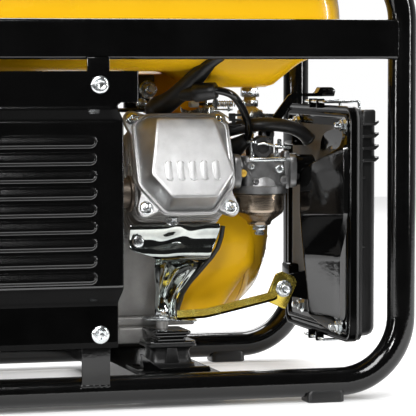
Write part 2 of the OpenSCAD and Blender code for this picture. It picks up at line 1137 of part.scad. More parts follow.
centred() left_cover();
centred() right_cover();
centred() breaker_lever();
centred() engine_switch();
centred() voltmeter();
centred() pull_handle();
centred() starter_rope();
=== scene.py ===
"""Looks for the portable generator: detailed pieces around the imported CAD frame.

Shapes are in millimetres in the engine frame; settle() brings them to the shared frame.
"""
from math import cos, hypot, pi, radians, sin, sqrt, tan

import bmesh
import bpy
from mathutils import Matrix, Vector


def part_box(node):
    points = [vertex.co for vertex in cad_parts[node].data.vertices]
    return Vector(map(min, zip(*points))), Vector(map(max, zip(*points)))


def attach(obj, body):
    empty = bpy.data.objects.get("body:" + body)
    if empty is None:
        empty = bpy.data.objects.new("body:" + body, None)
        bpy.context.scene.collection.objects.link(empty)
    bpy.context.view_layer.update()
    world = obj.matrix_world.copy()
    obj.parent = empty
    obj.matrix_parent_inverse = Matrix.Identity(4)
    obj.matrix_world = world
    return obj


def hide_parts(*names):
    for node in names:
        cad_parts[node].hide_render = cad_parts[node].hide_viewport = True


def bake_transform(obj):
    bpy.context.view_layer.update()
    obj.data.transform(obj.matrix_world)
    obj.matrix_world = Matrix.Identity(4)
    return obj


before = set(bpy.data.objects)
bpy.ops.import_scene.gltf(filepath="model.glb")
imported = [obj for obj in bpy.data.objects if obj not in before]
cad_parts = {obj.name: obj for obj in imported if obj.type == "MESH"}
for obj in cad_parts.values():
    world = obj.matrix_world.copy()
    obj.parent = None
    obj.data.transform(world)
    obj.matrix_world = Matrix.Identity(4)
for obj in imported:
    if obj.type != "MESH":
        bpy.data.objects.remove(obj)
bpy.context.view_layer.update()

MM = 0.001
MAIN = "generator"
CENTRE_Y = 10.5
scene = bpy.context.scene
scene.view_settings.view_transform = "Standard"

# ---------------------------------------------------------------- camera

YAW = 16.0
PITCH = 3.5
LENS = 216.3
CAMERA_AT = (-0.583, -2.4925, 0.342)


def add_camera():
    data = bpy.data.cameras.new("camera")
    data.lens = LENS
    data.sensor_width = 36.0
    data.clip_end = 50
    camera = bpy.data.objects.new("camera", data)
    camera.location = CAMERA_AT
    camera.rotation_euler = (radians(90 - PITCH), 0, radians(-YAW))
    scene.collection.objects.link(camera)
    scene.camera = camera


add_camera()

# ------------------------------------------------------------- materials


def node_of(tree, kind, **inputs):
    node = tree.nodes.new(kind)
    for key, value in inputs.items():
        node.inputs[key.replace("_", " ")].default_value = value
    return node


def map_range(tree, value, start, end, low, high):
    node = node_of(tree, "ShaderNodeMapRange", From_Min=start, From_Max=end, To_Min=low, To_Max=high)
    tree.links.new(value, node.inputs["Value"])
    return node.outputs["Result"]


def material(name, dark, light, rough, metal=0.0, vary=0.06, mottle=25.0, grain=0.0, grain_size=900.0,
        wave=0.0, wave_size=260.0, coat=0.0, coat_rough=0.04, sheen=0.0, stretch=(1, 1, 1),
        specular=0.5):
    """Two-tone mottled surface with its own roughness map and two bumps.

    mottle, grain_size and wave_size are noise scales per metre; grain is the
    fine bump and wave the broad one (orange peel); stretch draws the mottle
    out along an axis, as brushing does.
    """
    mat = bpy.data.materials.new(name)
    mat.use_nodes = True
    tree = mat.node_tree
    link = tree.links.new
    shader = tree.nodes["Principled BSDF"]
    place = tree.nodes.new("ShaderNodeTexCoord")
    scale = node_of(tree, "ShaderNodeMapping", Scale=stretch)
    link(place.outputs["Object"], scale.inputs["Vector"])
    spots = node_of(tree, "ShaderNodeTexNoise", Scale=mottle, Detail=6.0, Roughness=0.6)
    link(scale.outputs["Vector"], spots.inputs["Vector"])
    ramp = tree.nodes.new("ShaderNodeValToRGB")
    for stop, at, colour in zip(ramp.color_ramp.elements, (0.32, 0.68), (dark, light)):
        stop.position = at
        stop.color = (*colour, 1)
    link(spots.outputs["Fac"], ramp.inputs["Fac"])
    link(ramp.outputs["Color"], shader.inputs["Base Color"])
    link(map_range(tree, spots.outputs["Fac"], 0.0, 1.0, max(rough - vary, 0.02),
        min(rough + vary, 1.0)), shader.inputs["Roughness"])
    for socket, amount in (("Metallic", metal), ("Coat Weight", coat), ("Coat Roughness", coat_rough),
            ("Sheen Weight", sheen), ("Specular IOR Level", specular)):
        shader.inputs[socket].default_value = amount
    normal = None
    for strength, size, depth in ((wave, wave_size, 0.0006), (grain, grain_size, 0.0002)):
        if not strength:
            continue
        noise = node_of(tree, "ShaderNodeTexNoise", Scale=size, Detail=2.0)
        link(place.outputs["Object"], noise.inputs["Vector"])
        bump = node_of(tree, "ShaderNodeBump", Strength=strength, Distance=depth)
        link(noise.outputs["Fac"], bump.inputs["Height"])
        if normal:
            link(normal, bump.inputs["Normal"])
        normal = bump.outputs["Normal"]
    if normal:
        link(normal, shader.inputs["Normal"])
        if coat:
            link(normal, shader.inputs["Coat Normal"])
    return mat


def grey(value, tint=(1, 1, 1)):
    return tuple(value * part for part in tint)


POWDER = material("powder_black", grey(0.0012), grey(0.0024), 0.10, vary=0.03, wave=0.12,
    wave_size=420.0, grain=0.10, grain_size=1600.0)
# Copy of the black sheet with its reflection cut down: painted shade for sheet whose surroundings lie
# in shadow.
SHADED_SHEET = material("sheet_black_shaded", grey(0.0010), grey(0.0018), 0.08, vary=0.02, wave=0.06,
    wave_size=200.0, specular=0.07)
SHEET = material("sheet_black", grey(0.0010), grey(0.0018), 0.09, vary=0.02, wave=0.07, wave_size=260.0,
    specular=0.85)
CHANNEL = material("channel_black", grey(0.002), grey(0.004), 0.20, wave=0.2, wave_size=350.0)
PLASTIC = material("plastic_black", grey(0.006), grey(0.011), 0.36, grain=0.4, grain_size=1500.0)
GLOSS_PLASTIC = material("plastic_gloss", grey(0.010), grey(0.016), 0.22, grain=0.15, grain_size=900.0,
    coat=0.3)
RUBBER = material("rubber_black", grey(0.004), grey(0.008), 0.38, vary=0.08, grain=0.35,
    grain_size=1200.0)
HOSE = material("hose_rubber", grey(0.014), grey(0.022), 0.40, vary=0.05, grain=0.3, grain_size=900.0)
LEAD = material("lead_rubber", grey(0.003), grey(0.005), 0.14, vary=0.04, grain=0.1, grain_size=600.0)
SEAL = material("seal_rubber", grey(0.045), grey(0.062), 0.62, grain=0.4, grain_size=1400.0)
ZINC = material("zinc_plate", (0.56, 0.60, 0.62), (0.80, 0.82, 0.82), 0.26, metal=1.0, vary=0.12,
    mottle=140.0, grain=0.25)
# Zinc darkened below the zinc plate: painted shade for the dark surroundings the mirror-like sheet
# reflects.
SHADED_ZINC = material("zinc_sheet_shaded", (0.30, 0.33, 0.33), (0.58, 0.60, 0.56), 0.10, metal=1.0, vary=0.04,
    mottle=24.0, wave=0.40, wave_size=34.0)
COVER_CAST = material("cover_cast", grey(0.47), grey(0.57), 0.36, metal=0.92, vary=0.05, mottle=60.0,
    grain=0.55, grain_size=1700.0)
CASTING = material("crankcase_cast", grey(0.32, (1, 0.98, 0.95)), grey(0.42, (1, 0.98, 0.95)), 0.48,
    metal=0.6, vary=0.08, mottle=45.0, grain=0.7, grain_size=1100.0)
CARB = material("carb_cast", grey(0.15), grey(0.25), 0.40, metal=0.92, vary=0.06, mottle=90.0,
    grain=0.6, grain_size=1300.0)
BOWL = material("bowl_steel", (0.24, 0.19, 0.14), (0.42, 0.35, 0.28), 0.24, metal=1.0, vary=0.07,
    mottle=40.0, stretch=(1, 1, 9), grain=0.15, grain_size=900.0)
BRASS = material("brass", (0.60, 0.38, 0.06), (0.74, 0.50, 0.10), 0.36, metal=0.3, mottle=110.0,
    grain=0.3)
YELLOW_ZINC = material("yellow_zinc", (0.52, 0.36, 0.04), (0.62, 0.52, 0.12), 0.26, metal=1.0,
    vary=0.08, mottle=70.0, grain=0.3)
YELLOW = material("yellow_paint", (0.84, 0.46, 0.004), (0.88, 0.50, 0.006), 0.28, vary=0.04,
    mottle=12.0, wave=0.05, wave_size=180.0, coat=0.8, coat_rough=0.03)
SATIN = material("yellow_satin", (0.84, 0.46, 0.004), (0.88, 0.50, 0.006), 0.40, vary=0.05, mottle=12.0,
    wave=0.04, wave_size=120.0, coat=0.12, coat_rough=0.12, specular=0.15)
EXHAUST = material("exhaust_steel", (0.10, 0.08, 0.065), (0.26, 0.22, 0.18), 0.45, metal=0.9, vary=0.12,
    mottle=30.0, grain=0.4)
ROPE = material("starter_rope", grey(0.010), grey(0.030), 0.80, mottle=300.0, grain=0.8,
    grain_size=1500.0, sheen=0.2)
FOAM = material("filter_foam", grey(0.02), grey(0.05), 0.95, mottle=500.0, grain=1.0, grain_size=700.0,
    sheen=0.3)
CERAMIC = material("plug_ceramic", grey(0.70), grey(0.80), 0.12, vary=0.03, mottle=60.0, grain=0.05,
    coat=0.4)
PANEL = material("panel_paint", grey(0.016), grey(0.024), 0.40, grain=0.5, grain_size=1400.0)
RED = material("switch_red", (0.36, 0.008, 0.008), (0.46, 0.014, 0.012), 0.28, mottle=60.0, grain=0.1)
WHITE = material("meter_white", grey(0.62), grey(0.72), 0.30, mottle=80.0, grain=0.15)
BLUE = material("socket_blue", (0.012, 0.05, 0.20), (0.016, 0.07, 0.26), 0.34, grain=0.3)
ROTOR = material("rotor_steel", grey(0.22), grey(0.34), 0.36, metal=1.0, mottle=60.0, grain=0.3)
FLOOR = material("floor_white", grey(0.60), grey(0.62), 0.75, mottle=3.0, grain=0.05, grain_size=400.0)
FLOOR.node_tree.nodes["Principled BSDF"].inputs["Emission Color"].default_value = (1, 1, 1, 1)

# Slot that goes with each look
SLOTS = {POWDER: "black_powder_coat", ZINC: "zinc_plate", SHADED_ZINC: "zinc_plate",
    COVER_CAST: "cast_aluminium", CASTING: "cast_aluminium", RUBBER: "black_rubber",
    HOSE: "black_rubber", ROPE: "black_rubber", CERAMIC: "plug_ceramic", SATIN: "yellow_paint",
    YELLOW: "yellow_paint", SHEET: "black_sheet", SHADED_SHEET: "black_sheet", LEAD: "lead_rubber",
    CARB: "carb_casting", PLASTIC: "black_plastic", GLOSS_PLASTIC: "black_plastic",
    BLUE: "black_plastic", BRASS: "brass_fitting", BOWL: "bowl_steel", WHITE: "meter_plastic",
    SEAL: "grey_seal", YELLOW_ZINC: "yellow_zinc", PANEL: "panel_paint", EXHAUST: "exhaust_steel"}

# -------------------------------------------------------- shape building


def axis_frame(at, turn_z, turn_x):
    return (Matrix.Translation(at) @ Matrix.Rotation(radians(turn_z), 4, "Z")
        @ Matrix.Rotation(radians(turn_x), 4, "X"))


def upright(x, y, z=0):
    """Axes of the engine frame, moved to a place."""
    return Matrix.Translation((x, y, z))


def spun(place, degrees):
    """A place turned about its own z axis."""
    return place @ Matrix.Rotation(radians(degrees), 4, "Z")


def near(at=(0, 0, 0)):
    """Local x right, y up, z towards the near side (-Y)."""
    return axis_frame(at, 0, 90)


def far(at=(0, 0, 0)):
    return axis_frame(at, 180, 90)


def plus_x(at=(0, 0, 0)):
    return axis_frame(at, 90, 90)


def minus_x(at=(0, 0, 0)):
    return axis_frame(at, -90, 90)


def aim(at, towards):
    """Local z along the direction towards."""
    turn = Vector(towards).to_track_quat("Z", "Y").to_matrix().to_4x4()
    return Matrix.Translation(at) @ turn


def hexagon(radius, turn=0):
    return [(radius * cos(radians(60 * k + turn)), radius * sin(radians(60 * k + turn)))
        for k in range(6)]


def mesh_of(name, part):
    """Mesh made from a bmesh, which is freed."""
    mesh = bpy.data.meshes.new(name)
    part.to_mesh(mesh)
    part.free()
    return mesh


class Shape:
    """Collects closed parts, in millimetres, into one mesh."""

    def __init__(self):
        self.bm = bmesh.new()

    def take(self, part, place=None):
        bmesh.ops.recalc_face_normals(part, faces=part.faces)
        mesh = mesh_of("part", part)
        if place is not None:
            mesh.transform(place)
        self.bm.from_mesh(mesh)
        bpy.data.meshes.remove(mesh)
        return self

    def box(self, low, high, bevel=0.6, steps=2, place=None):
        part = bmesh.new()
        bmesh.ops.create_cube(part, size=1.0)
        for v in part.verts:
            v.co = [low[i] + (v.co[i] + 0.5) * (high[i] - low[i]) for i in range(3)]
        if bevel:
            bmesh.ops.bevel(part, geom=part.edges[:], offset=bevel, segments=steps, profile=0.5,
                affect="EDGES")
        return self.take(part, place)

    def box_ring(self, count, low, high, bevel, steps, at, start=0):
        """Equal boxes at even angles round the z axis of a place."""
        for k in range(count):
            self.box(low, high, bevel, steps, spun(at, start + 360 / count * k))

    def prism(self, outline, z0, z1, bevel=0.5, steps=2, place=None):
        """Outline in local x-y, extruded from z0 to z1, both rims bevelled."""
        part = bmesh.new()
        low = [part.verts.new((x, y, z0)) for x, y in outline]
        high = [part.verts.new((x, y, z1)) for x, y in outline]
        part.faces.new(low[::-1])
        part.faces.new(high)
        rims = []
        for i, (a, b) in enumerate(zip(low, high)):
            j = (i + 1) % len(low)
            face = part.faces.new((a, low[j], high[j], b))
            rims += [face.edges[0], face.edges[2]]
        if bevel:
            bmesh.ops.bevel(part, geom=list(set(rims)), offset=bevel, segments=steps, profile=0.5,
                affect="EDGES")
        return self.take(part, place)

    def loft(self, loops, place=None):
        """Skins a list of rings with equal numbers of points; ends are capped."""
        part = bmesh.new()
        rows = [[part.verts.new(p) for p in loop] for loop in loops]
        count = len(loops[0])
        for a, b in zip(rows, rows[1:]):
            for i in range(count):
                j = (i + 1) % count
                part.faces.new((a[i], a[j], b[j], b[i]))
        part.faces.new(rows[0][::-1])
        part.faces.new(rows[-1])
        return self.take(part, place)

    def lathe(self, profile, place=None, steps=48):
        """Turns a list of (radius, height) round local z; ends are capped."""
        loops = []
        for r, z in profile:
            r = max(r, 0.001)
            loops.append([(r * cos(2 * pi * i / steps), r * sin(2 * pi * i / steps), z)
                for i in range(steps)])
        return self.loft(loops, place)

    def tube(self, points, radius, sides=20):
        """Round tube along points; radius is a number or one per point."""
        points = [Vector(p) for p in points]
        radii = radius if isinstance(radius, list) else [radius] * len(points)
        side = None
        loops = []
        for i, p in enumerate(points):
            d = (points[min(i + 1, len(points) - 1)] - points[max(i - 1, 0)]).normalized()
            if side is None:
                side = d.orthogonal().normalized()
            side = (side - d * side.dot(d)).normalized()
            up = d.cross(side)
            loops.append([p + radii[i] * (cos(2 * pi * k / sides) * side + sin(2 * pi * k / sides) * up)
                for k in range(sides)])
        return self.loft(loops)

    def disc(self, profile, place=None, steps=48):
        """Lathe of a solid part: the profile is closed to the axis at both ends."""
        first, last = (0, profile[0][1]), (0, profile[-1][1])
        return self.lathe([first] + profile + [last], place, steps)

    def bolt(self, place, af=10.0, dish=True):
        """Hexagon flange bolt head standing on local z = 0."""
        self.disc([(af * 0.84, 0), (af * 0.86, af * 0.05), (af * 0.80, af * 0.11),
            (af * 0.58, af * 0.20)], place, 32)
        self.prism(hexagon(af / sqrt(3), 12), 0.1 * af, 0.62 * af, af * 0.05, 2, place)
        rim = af * 0.44
        top = af * 0.70
        if dish:
            self.lathe([(0, 0.5 * af), (rim + 0.4, 0.5 * af), (rim, top - 0.3), (rim - 0.5, top),
                (rim - 1.0, top - 0.2), (rim * 0.5, top - af * 0.09), (0, top - af * 0.10)], place, 32)
        return self

    def nut(self, place, af=10.0, height=6.0, stud=3.0, stud_up=4.0):
        """Hexagon nut on local z = 0 with a stud end through it."""
        self.prism(hexagon(af / sqrt(3), 20), 0, height, af * 0.06, 2, place)
        top = height + stud_up
        self.disc([(stud, 0), (stud, top - 1), (stud - 0.8, top)], place, 24)
        return self

    def piece(self, name, look, nodes=(), body=MAIN, smooth=38.0, slot=None):
        """Turns the shape into a piece that stands for CAD nodes."""
        bmesh.ops.remove_doubles(self.bm, verts=self.bm.verts, dist=0.0005)
        mesh = mesh_of(name, self.bm)
        settle(mesh)
        return finish_piece(name, mesh, look, nodes, body, smooth, slot)


def settle(mesh):
    """Engine frame in millimetres to the shared frame in metres."""
    mesh.transform(Matrix.Scale(MM, 4) @ upright(0, CENTRE_Y))


def finish_piece(name, mesh, look, nodes, body, smooth, slot=None):
    """Piece on a body with its look; the slot that goes with the look, or the named one, is worked out
    but not set.
    """
    slot = slot or SLOTS[look]
    for face in mesh.polygons:
        face.use_smooth = True
    mesh.set_sharp_from_angle(angle=radians(smooth))
    mesh.materials.append(look)
    obj = bpy.data.objects.new(name, mesh)
    scene.collection.objects.link(obj)
    if body:
        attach(obj, body)
    if nodes:
        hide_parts(*nodes)
    return obj


def sheet_piece(name, rows, look, nodes, smooth, thickness, offset):
    """Open sheet through rows of points, thickened by a modifier."""
    part = bmesh.new()
    grid = [[part.verts.new(point) for point in row] for row in rows]
    for a, b in zip(grid, grid[1:]):
        for i in range(len(a) - 1):
            part.faces.new((a[i], a[i + 1], b[i + 1], b[i]))
    mesh = mesh_of(name, part)
    settle(mesh)
    obj = finish_piece(name, mesh, look, nodes, MAIN, smooth)
    wall = obj.modifiers.new("wall", "SOLIDIFY")
    wall.thickness = thickness
    wall.offset = offset
    return obj


def rounded(outline, radius, steps=5):
    """Closed outline with each corner turned into an arc."""
    radii = radius if isinstance(radius, list) else [radius] * len(outline)
    out = []
    count = len(outline)
    for i, point in enumerate(outline):
        p = Vector(point)
        a = Vector(outline[i - 1]) - p
        b = Vector(outline[(i + 1) % count]) - p
        cut = min(radii[i] / max(tan(a.angle(b) / 2), 0.05), a.length * 0.49, b.length * 0.49)
        start = p + a.normalized() * cut
        end = p + b.normalized() * cut
        for k in range(steps + 1):
            t = k / steps
            out.append(tuple(start * (1 - t) ** 2 + p * 2 * t * (1 - t) + end * t ** 2))
    return out


def shrunk(outline, inset, centre, halves):
    """Outline drawn in towards its centre; halves are its half width and height."""
    return [tuple(c + (p - c) * (1 - inset / half) for p, c, half in zip(point, centre, halves))
        for point in outline]


def rectangle(x0, x1, y0, y1, radius, steps=6):
    return rounded([(x0, y0), (x1, y0), (x1, y1), (x0, y1)], radius, steps)


def smoothstep(t):
    t = min(max(t, 0.0), 1.0)
    return t * t * (3 - 2 * t)


def curve_through(points, per=6):
    """Catmull-Rom curve through given points."""
    pts = [Vector(p) for p in points]
    out = []
    for i in range(len(pts) - 1):
        a, b = pts[max(i - 1, 0)], pts[i]
        c, d = pts[i + 1], pts[min(i + 2, len(pts) - 1)]
        for k in range(per):
            t = k / per
            out.append(0.5 * (2 * b + (c - a) * t + (2 * a - 5 * b + 4 * c - d) * t * t
                + (3 * b - a - 3 * c + d) * t ** 3))
    return out + [pts[-1]]


# ------------------------------------------------- finish of kept CAD nodes

KEPT = {
    POWDER: ("near_side_loop", "far_side_loop", "top_cross_tubes", "near_tank_rail", "far_tank_rail"),
    CHANNEL: ("engine_cross_plate", "alternator_cross_plate"),
    FOAM: ("filter_element",),
    ROTOR: ("crank_rotor",),
    PLASTIC: ("breaker_lever",),
    RED: ("engine_switch",),
}
for look, nodes in KEPT.items():
    for node in nodes:
        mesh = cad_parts[node].data
        mesh.materials.clear()
        mesh.materials.append(look)

# ------------------------------------------------------ muffler guard

GUARD_LEFT, GUARD_Y, RAISE = -262.0, -187.3, 12.5
GUARD_THICK = 0.0013  # metres, like every modifier setting
BAND_LOW, BAND_HIGH = 62.0, 327.0
LOUVRE_ROWS, LOUVRE_PITCH, LOUVRE_FIRST = 9, 16.2, 131.0
LOUVRE_HALF, LOUVRE_OUT = 6.4, 4.4
LOUVRE_COLUMNS = ((-133.0, -32.0), (-242.0, -146.0))


def band_height(z):
    """Depth of the raised centre at height z, with soft folds."""
    total = 0.0
    for k in range(-3, 4):
        up = (z + 0.8 * k - 105.0) / 15.5
        down = (292.5 - z - 0.8 * k) / 13.5
        total += RAISE * min(max(min(up, down), 0.0), 1.0)
    return total / 7


def louvre_height(x, z):
    row = min(max(round((z - LOUVRE_FIRST) / LOUVRE_PITCH), 0), LOUVRE_ROWS - 1)
    dz = z - (LOUVRE_FIRST + row * LOUVRE_PITCH)
    for x0, x1 in LOUVRE_COLUMNS:
        nearest = min(max(x, x0 + LOUVRE_HALF), x1 - LOUVRE_HALF)
        inside = LOUVRE_HALF - hypot(x - nearest, dz)
        if inside > 0:
            fall = (LOUVRE_HALF - dz) / (2 * LOUVRE_HALF)
            lip = 0.30 + 0.70 * smoothstep(fall / 0.75)
            return LOUVRE_OUT * smoothstep(inside / 2.9) * lip
    return 0.0


def guard_edge(z):
    """Right-hand edge of the sheet at height z."""
    if z > 297.0:
        return 11.0
    if z > 291.0:
        return -9.5 + 3.0 * smoothstep((z - 294.0) / 3.0)
    return -9.5 + 2.5 * smoothstep(band_height(z) / RAISE)


def steps_between(start, end, step):
    count = max(1, round((end - start) / step))
    return [start + (end - start) * i / count for i in range(count)]


def guard_sheet(name, rows, look, nodes=()):
    """Pressed sheet of the guard over the given heights."""
    columns = []
    for x0, x1 in sorted(LOUVRE_COLUMNS):
        columns += steps_between(x0 - 12, x0 - 1, 6)
        columns += steps_between(x0 - 1, x0 + 9, 0.9)
        columns += steps_between(x0 + 9, x1 - 9, 9)
        columns += steps_between(x1 - 9, x1 + 1, 0.9)
    columns = [GUARD_LEFT] + [x for x in columns if x > GUARD_LEFT + 2]
    columns += [-30, -26, -22, -17, -12]
    grid = []
    for z in rows:
        edge = guard_edge(z)
        y = GUARD_Y - band_height(z)
        line = [(GUARD_LEFT - 1.5, y + 15.0), (GUARD_LEFT - 1.5, y + 1.8), (GUARD_LEFT - 1.0, y + 0.5)]
        for x in columns:
            if x > -14:
                x = -14 + (x + 14) / 2 * (edge + 14)
            line.append((x, y - louvre_height(x, z)))
        line += [(edge + 0.9, y + 0.4), (edge + 1.5, y + 1.6), (edge + 1.5, y + 8.0),
            (edge + 1.5, y + 15.0)]
        grid.append([(x, y, z) for x, y in line])
    obj = sheet_piece(name, grid, look, nodes, 60, GUARD_THICK, -1.0)
    edge = obj.modifiers.new("edge", "BEVEL")
    edge.width = 0.0004
    edge.segments = 2
    edge.limit_method = "ANGLE"
    edge.angle_limit = radians(70)


def guard_panel():
    low = steps_between(BAND_LOW, 98, 6) + steps_between(98, 121, 1.0)
    # The lower fold takes the shaded copy: painted shade in its reflection of the floor.
    guard_sheet("guard_lower_fold", low + [121], SHADED_SHEET)
    rows = steps_between(121, 124, 1.0) + steps_between(124, 268, 0.75)
    rows += steps_between(268, 291, 1.0)
    rows += [291, 293, 294, 295, 296, 296.8, 297.3]
    rows += steps_between(300, BAND_HIGH - 1, 6) + [BAND_HIGH]
    guard_sheet("guard_panel", rows, SHEET, ["muffler_guard"])


def guard_tabs():
    tabs = Shape()
    for x0, x1 in ((-38, -16), (-246, -224)):
        tabs.box((x0, -186.4, 306), (x1, -183.9, 340), 0.8)
    tabs.box((-246, -186.0, 62), (-192, -183.6, 84), 0.9)
    for x0, x1 in ((-44, -16), (-218, -192)):
        tabs.box((x0, -186.0, 26), (x1, -183.6, 84), 0.9)
        bead = [(x0 + (x1 - x0) * k / 14, -184.4, 25.2 + 0.5 * sin(k * 2.4)) for k in range(15)]
        tabs.tube(bead, [1.8 + 0.4 * sin(k * 2.1) for k in range(15)], 10)
    tabs.piece("guard_tabs", POWDER, ["guard_brackets"])


def guard_screws():
    bolts = Shape()
    for x in (-26, -234):
        for z in (75, 314):
            bolts.bolt(near((x, -188.0, z)), 10.0)
    bolts.piece("guard_screws", ZINC, ["guard_bolts"])


def rail_welds():
    """Weld beads where the rails meet the uprights."""
    beads = Shape()
    for side in (-1, 1):
        for end in (-1, 1):
            line = [(end * (276.6 + 0.5 * sin(k * 1.7)), side * 182.2, 340 + 36 * k / 16)
                for k in range(17)]
            sizes = [1.7 + 0.5 * sin(k * 2.3) for k in range(17)]
            beads.tube(line, sizes, 10)
            for z in (338.6, 376.4):
                line = [(end * 276.5, side * (182 - 18 * k / 8), z) for k in range(9)]
                beads.tube(line, 1.4, 8)
    beads.piece("rail_welds", POWDER)


# ------------------------------------------------------ valve cover

CYL_X, AXIS_Y, AXIS_Z, TILT, HEAD = 76.0, 25.0, 168.0, 22.0, 148.0
GOVERNOR_AT = (112, -72)
BANK = axis_frame((CYL_X, AXIS_Y, AXIS_Z + 10.0), 0, 90 - TILT)
RING_POINTS, EAR = 144, 10.5
COVER_HOLES = ((-48, 46), (39, 44), (43, -47), (-43, -47))
DOME_BASE = [(-24, -50), (24, -50), (46, -22), (46, 38), (34, 47), (-34, 47), (-46, 38), (-46, -22)]
DOME_FACE = [(-22.5, -45), (22.5, -45), (41, -20.5), (29, 38.5), (-29, 38.5), (-41, -20.5)]


def ray_radius(outline, angle):
    """Distance from the origin to a closed outline along an angle."""
    dx, dy = cos(angle), sin(angle)
    best = 0.0
    for (ax, ay), (bx, by) in zip(outline, outline[1:] + outline[:1]):
        ex, ey = bx - ax, by - ay
        det = dx * ey - dy * ex
        if abs(det) < 1e-9:
            continue
        far_along = (ax * ey - ay * ex) / det
        share = (ax * dy - ay * dx) / det
        if far_along > 0 and -1e-6 <= share <= 1 + 1e-6:
            best = max(best, far_along)
    return best


def soft_ring(radii, soft):
    """Ring of points at even angles, its radii smoothed a few times."""
    count = len(radii)
    for _ in range(soft):
        radii = [(radii[i - 1] + 2 * radii[i] + radii[(i + 1) % count]) / 4 for i in range(count)]
    return [(r * cos(2 * pi * i / count), r * sin(2 * pi * i / count)) for i, r in enumerate(radii)]


def polar_ring(outline, grow=0.0, soft=1):
    return soft_ring([ray_radius(outline, 2 * pi * i / RING_POINTS) + grow for i in range(RING_POINTS)],
        soft)


def flange_ring(grow):
    """Flange outline: waisted sides with a round ear at each bolt."""
    waist = [(-44, -47), (0, -50), (44, -47), (48, -20), (46, 20), (40, 45), (0, 49), (-50, 46),
        (-51, 20), (-49, -20)]
    radii = []
    for i in range(RING_POINTS):
        angle = 2 * pi * i / RING_POINTS
        reach = ray_radius(waist, angle)
        for x, y in COVER_HOLES:
            along = x * cos(angle) + y * sin(angle)
            off = x * sin(angle) - y * cos(angle)
            if along > 0 and abs(off) < EAR:
                reach = max(reach, along + sqrt(EAR ** 2 - off ** 2))
        radii.append(reach + grow)
    return soft_ring(radii, 3)


def face_drop(y):
    """The face curves back towards its upper end."""
    return 0.0011 * max(0.0, y + 42) ** 2


def valve_cover():
    base = HEAD + 1.0
    rim = 6.0
    top = 34.5
    cover = Shape()
    loops = []
    for grow, height in ((-0.6, 0.0), (0.0, 0.6), (0.0, rim - 0.8), (-0.9, rim)):
        loops.append([(x, y, base + height) for x, y in flange_ring(grow)])
    for grow, height in ((5.2, 6.0), (4.6, 6.5), (4.2, 8.3), (3.6, 8.8), (2.2, 8.8), (1.7, 8.3),
            (1.4, 7.0), (0.6, 6.7), (-0.2, 8.2), (-0.8, 10.0)):
        loops.append([(x, y, base + height) for x, y in polar_ring(DOME_BASE, grow, soft=2)])
    wall = polar_ring(DOME_BASE, -0.8, soft=2)
    brow = polar_ring(DOME_FACE, 1.6, soft=1)
    for share in (0.25, 0.5, 0.75, 0.93):
        loops.append([(a[0] + (b[0] - a[0]) * share, a[1] + (b[1] - a[1]) * share,
            base + 10 + (top - 12.0) * share - face_drop(b[1]) * share) for a, b in zip(wall, brow)])
    for grow, height in ((1.1, top - 0.9), (0.2, top - 0.25), (-1.0, top), (-2.4, top)):
        ring = polar_ring(DOME_FACE, grow, soft=1)
        loops.append([(x, y, base + height - face_drop(y)) for x, y in ring])
    inner = loops[-1]
    for scale in (0.86, 0.72, 0.58, 0.44, 0.30, 0.16, 0.04):
        loops.append([(x * scale, y * scale, base + top - face_drop(y * scale)) for x, y, _ in inner])
    cover.loft(loops, BANK)
    for k in range(-2, 3):
        outline = rectangle(k * 12 - 3.4, k * 12 + 3.4, -29, -8.5, 2.6, 5)
        cover.prism(outline, base + top - 3.0, base + top + 0.55, 1.2, 4, BANK)
    cover.piece("valve_cover_cast", COVER_CAST, ["valve_cover"], smooth=32)
    bolts = Shape()
    for x, y in COVER_HOLES:
        seat = BANK @ upright(x, y, base + rim + 0.1)
        bolts.bolt(seat, 8.0)
    bolts.piece("valve_cover_screws", ZINC, ["cover_bolts"])
    gasket = Shape()
    gasket.loft([[(x, y, HEAD + 0.05) for x, y in flange_ring(-1.2)],
        [(x, y, HEAD + 0.95) for x, y in flange_ring(-1.2)]], BANK)
    gasket.piece("cover_gasket", RUBBER)


def head_and_barrel():
    """Cast head and barrel with thin cooling fins."""
    head = Shape()
    core = rectangle(-42, 42, -43, 45, 12)
    head.prism(core, HEAD - 36, HEAD, 0.8, 2, BANK)
    head.prism(rectangle(-47, 46, -49, 50, 12), HEAD - 5.5, HEAD, 1.0, 2, BANK)
    for k in range(3):
        low = HEAD - 33 + k * 8.5
        head.prism(rectangle(-48, 45, -49, 50, 12), low, low + 2.6, 0.9, 2, BANK)
    head.disc([(6, 255), (5, 272), (5, 281), (3, 282), (3, 289), (2.4, 290)], upright(*GOVERNOR_AT), 24)
    head.piece("cylinder_head_cast", CASTING, ["cylinder_head"])
    barrel = Shape()
    barrel.disc([(40, 58), (40, HEAD - 37)], BANK)
    for k in range(7):
        low = 60 + k * 7.2
        barrel.prism(rectangle(-49, 46, -49, 50, 12), low, low + 2.2, 0.8, 2, BANK)
    barrel.piece("barrel_fins", CASTING, ["cylinder_barrel"])


# ------------------------------------------------------ plug, lead, hose

COLLAR_AT = Vector((87, -127, 305))
COLLAR_WAY = Vector((17, -12, 2.5)).normalized()


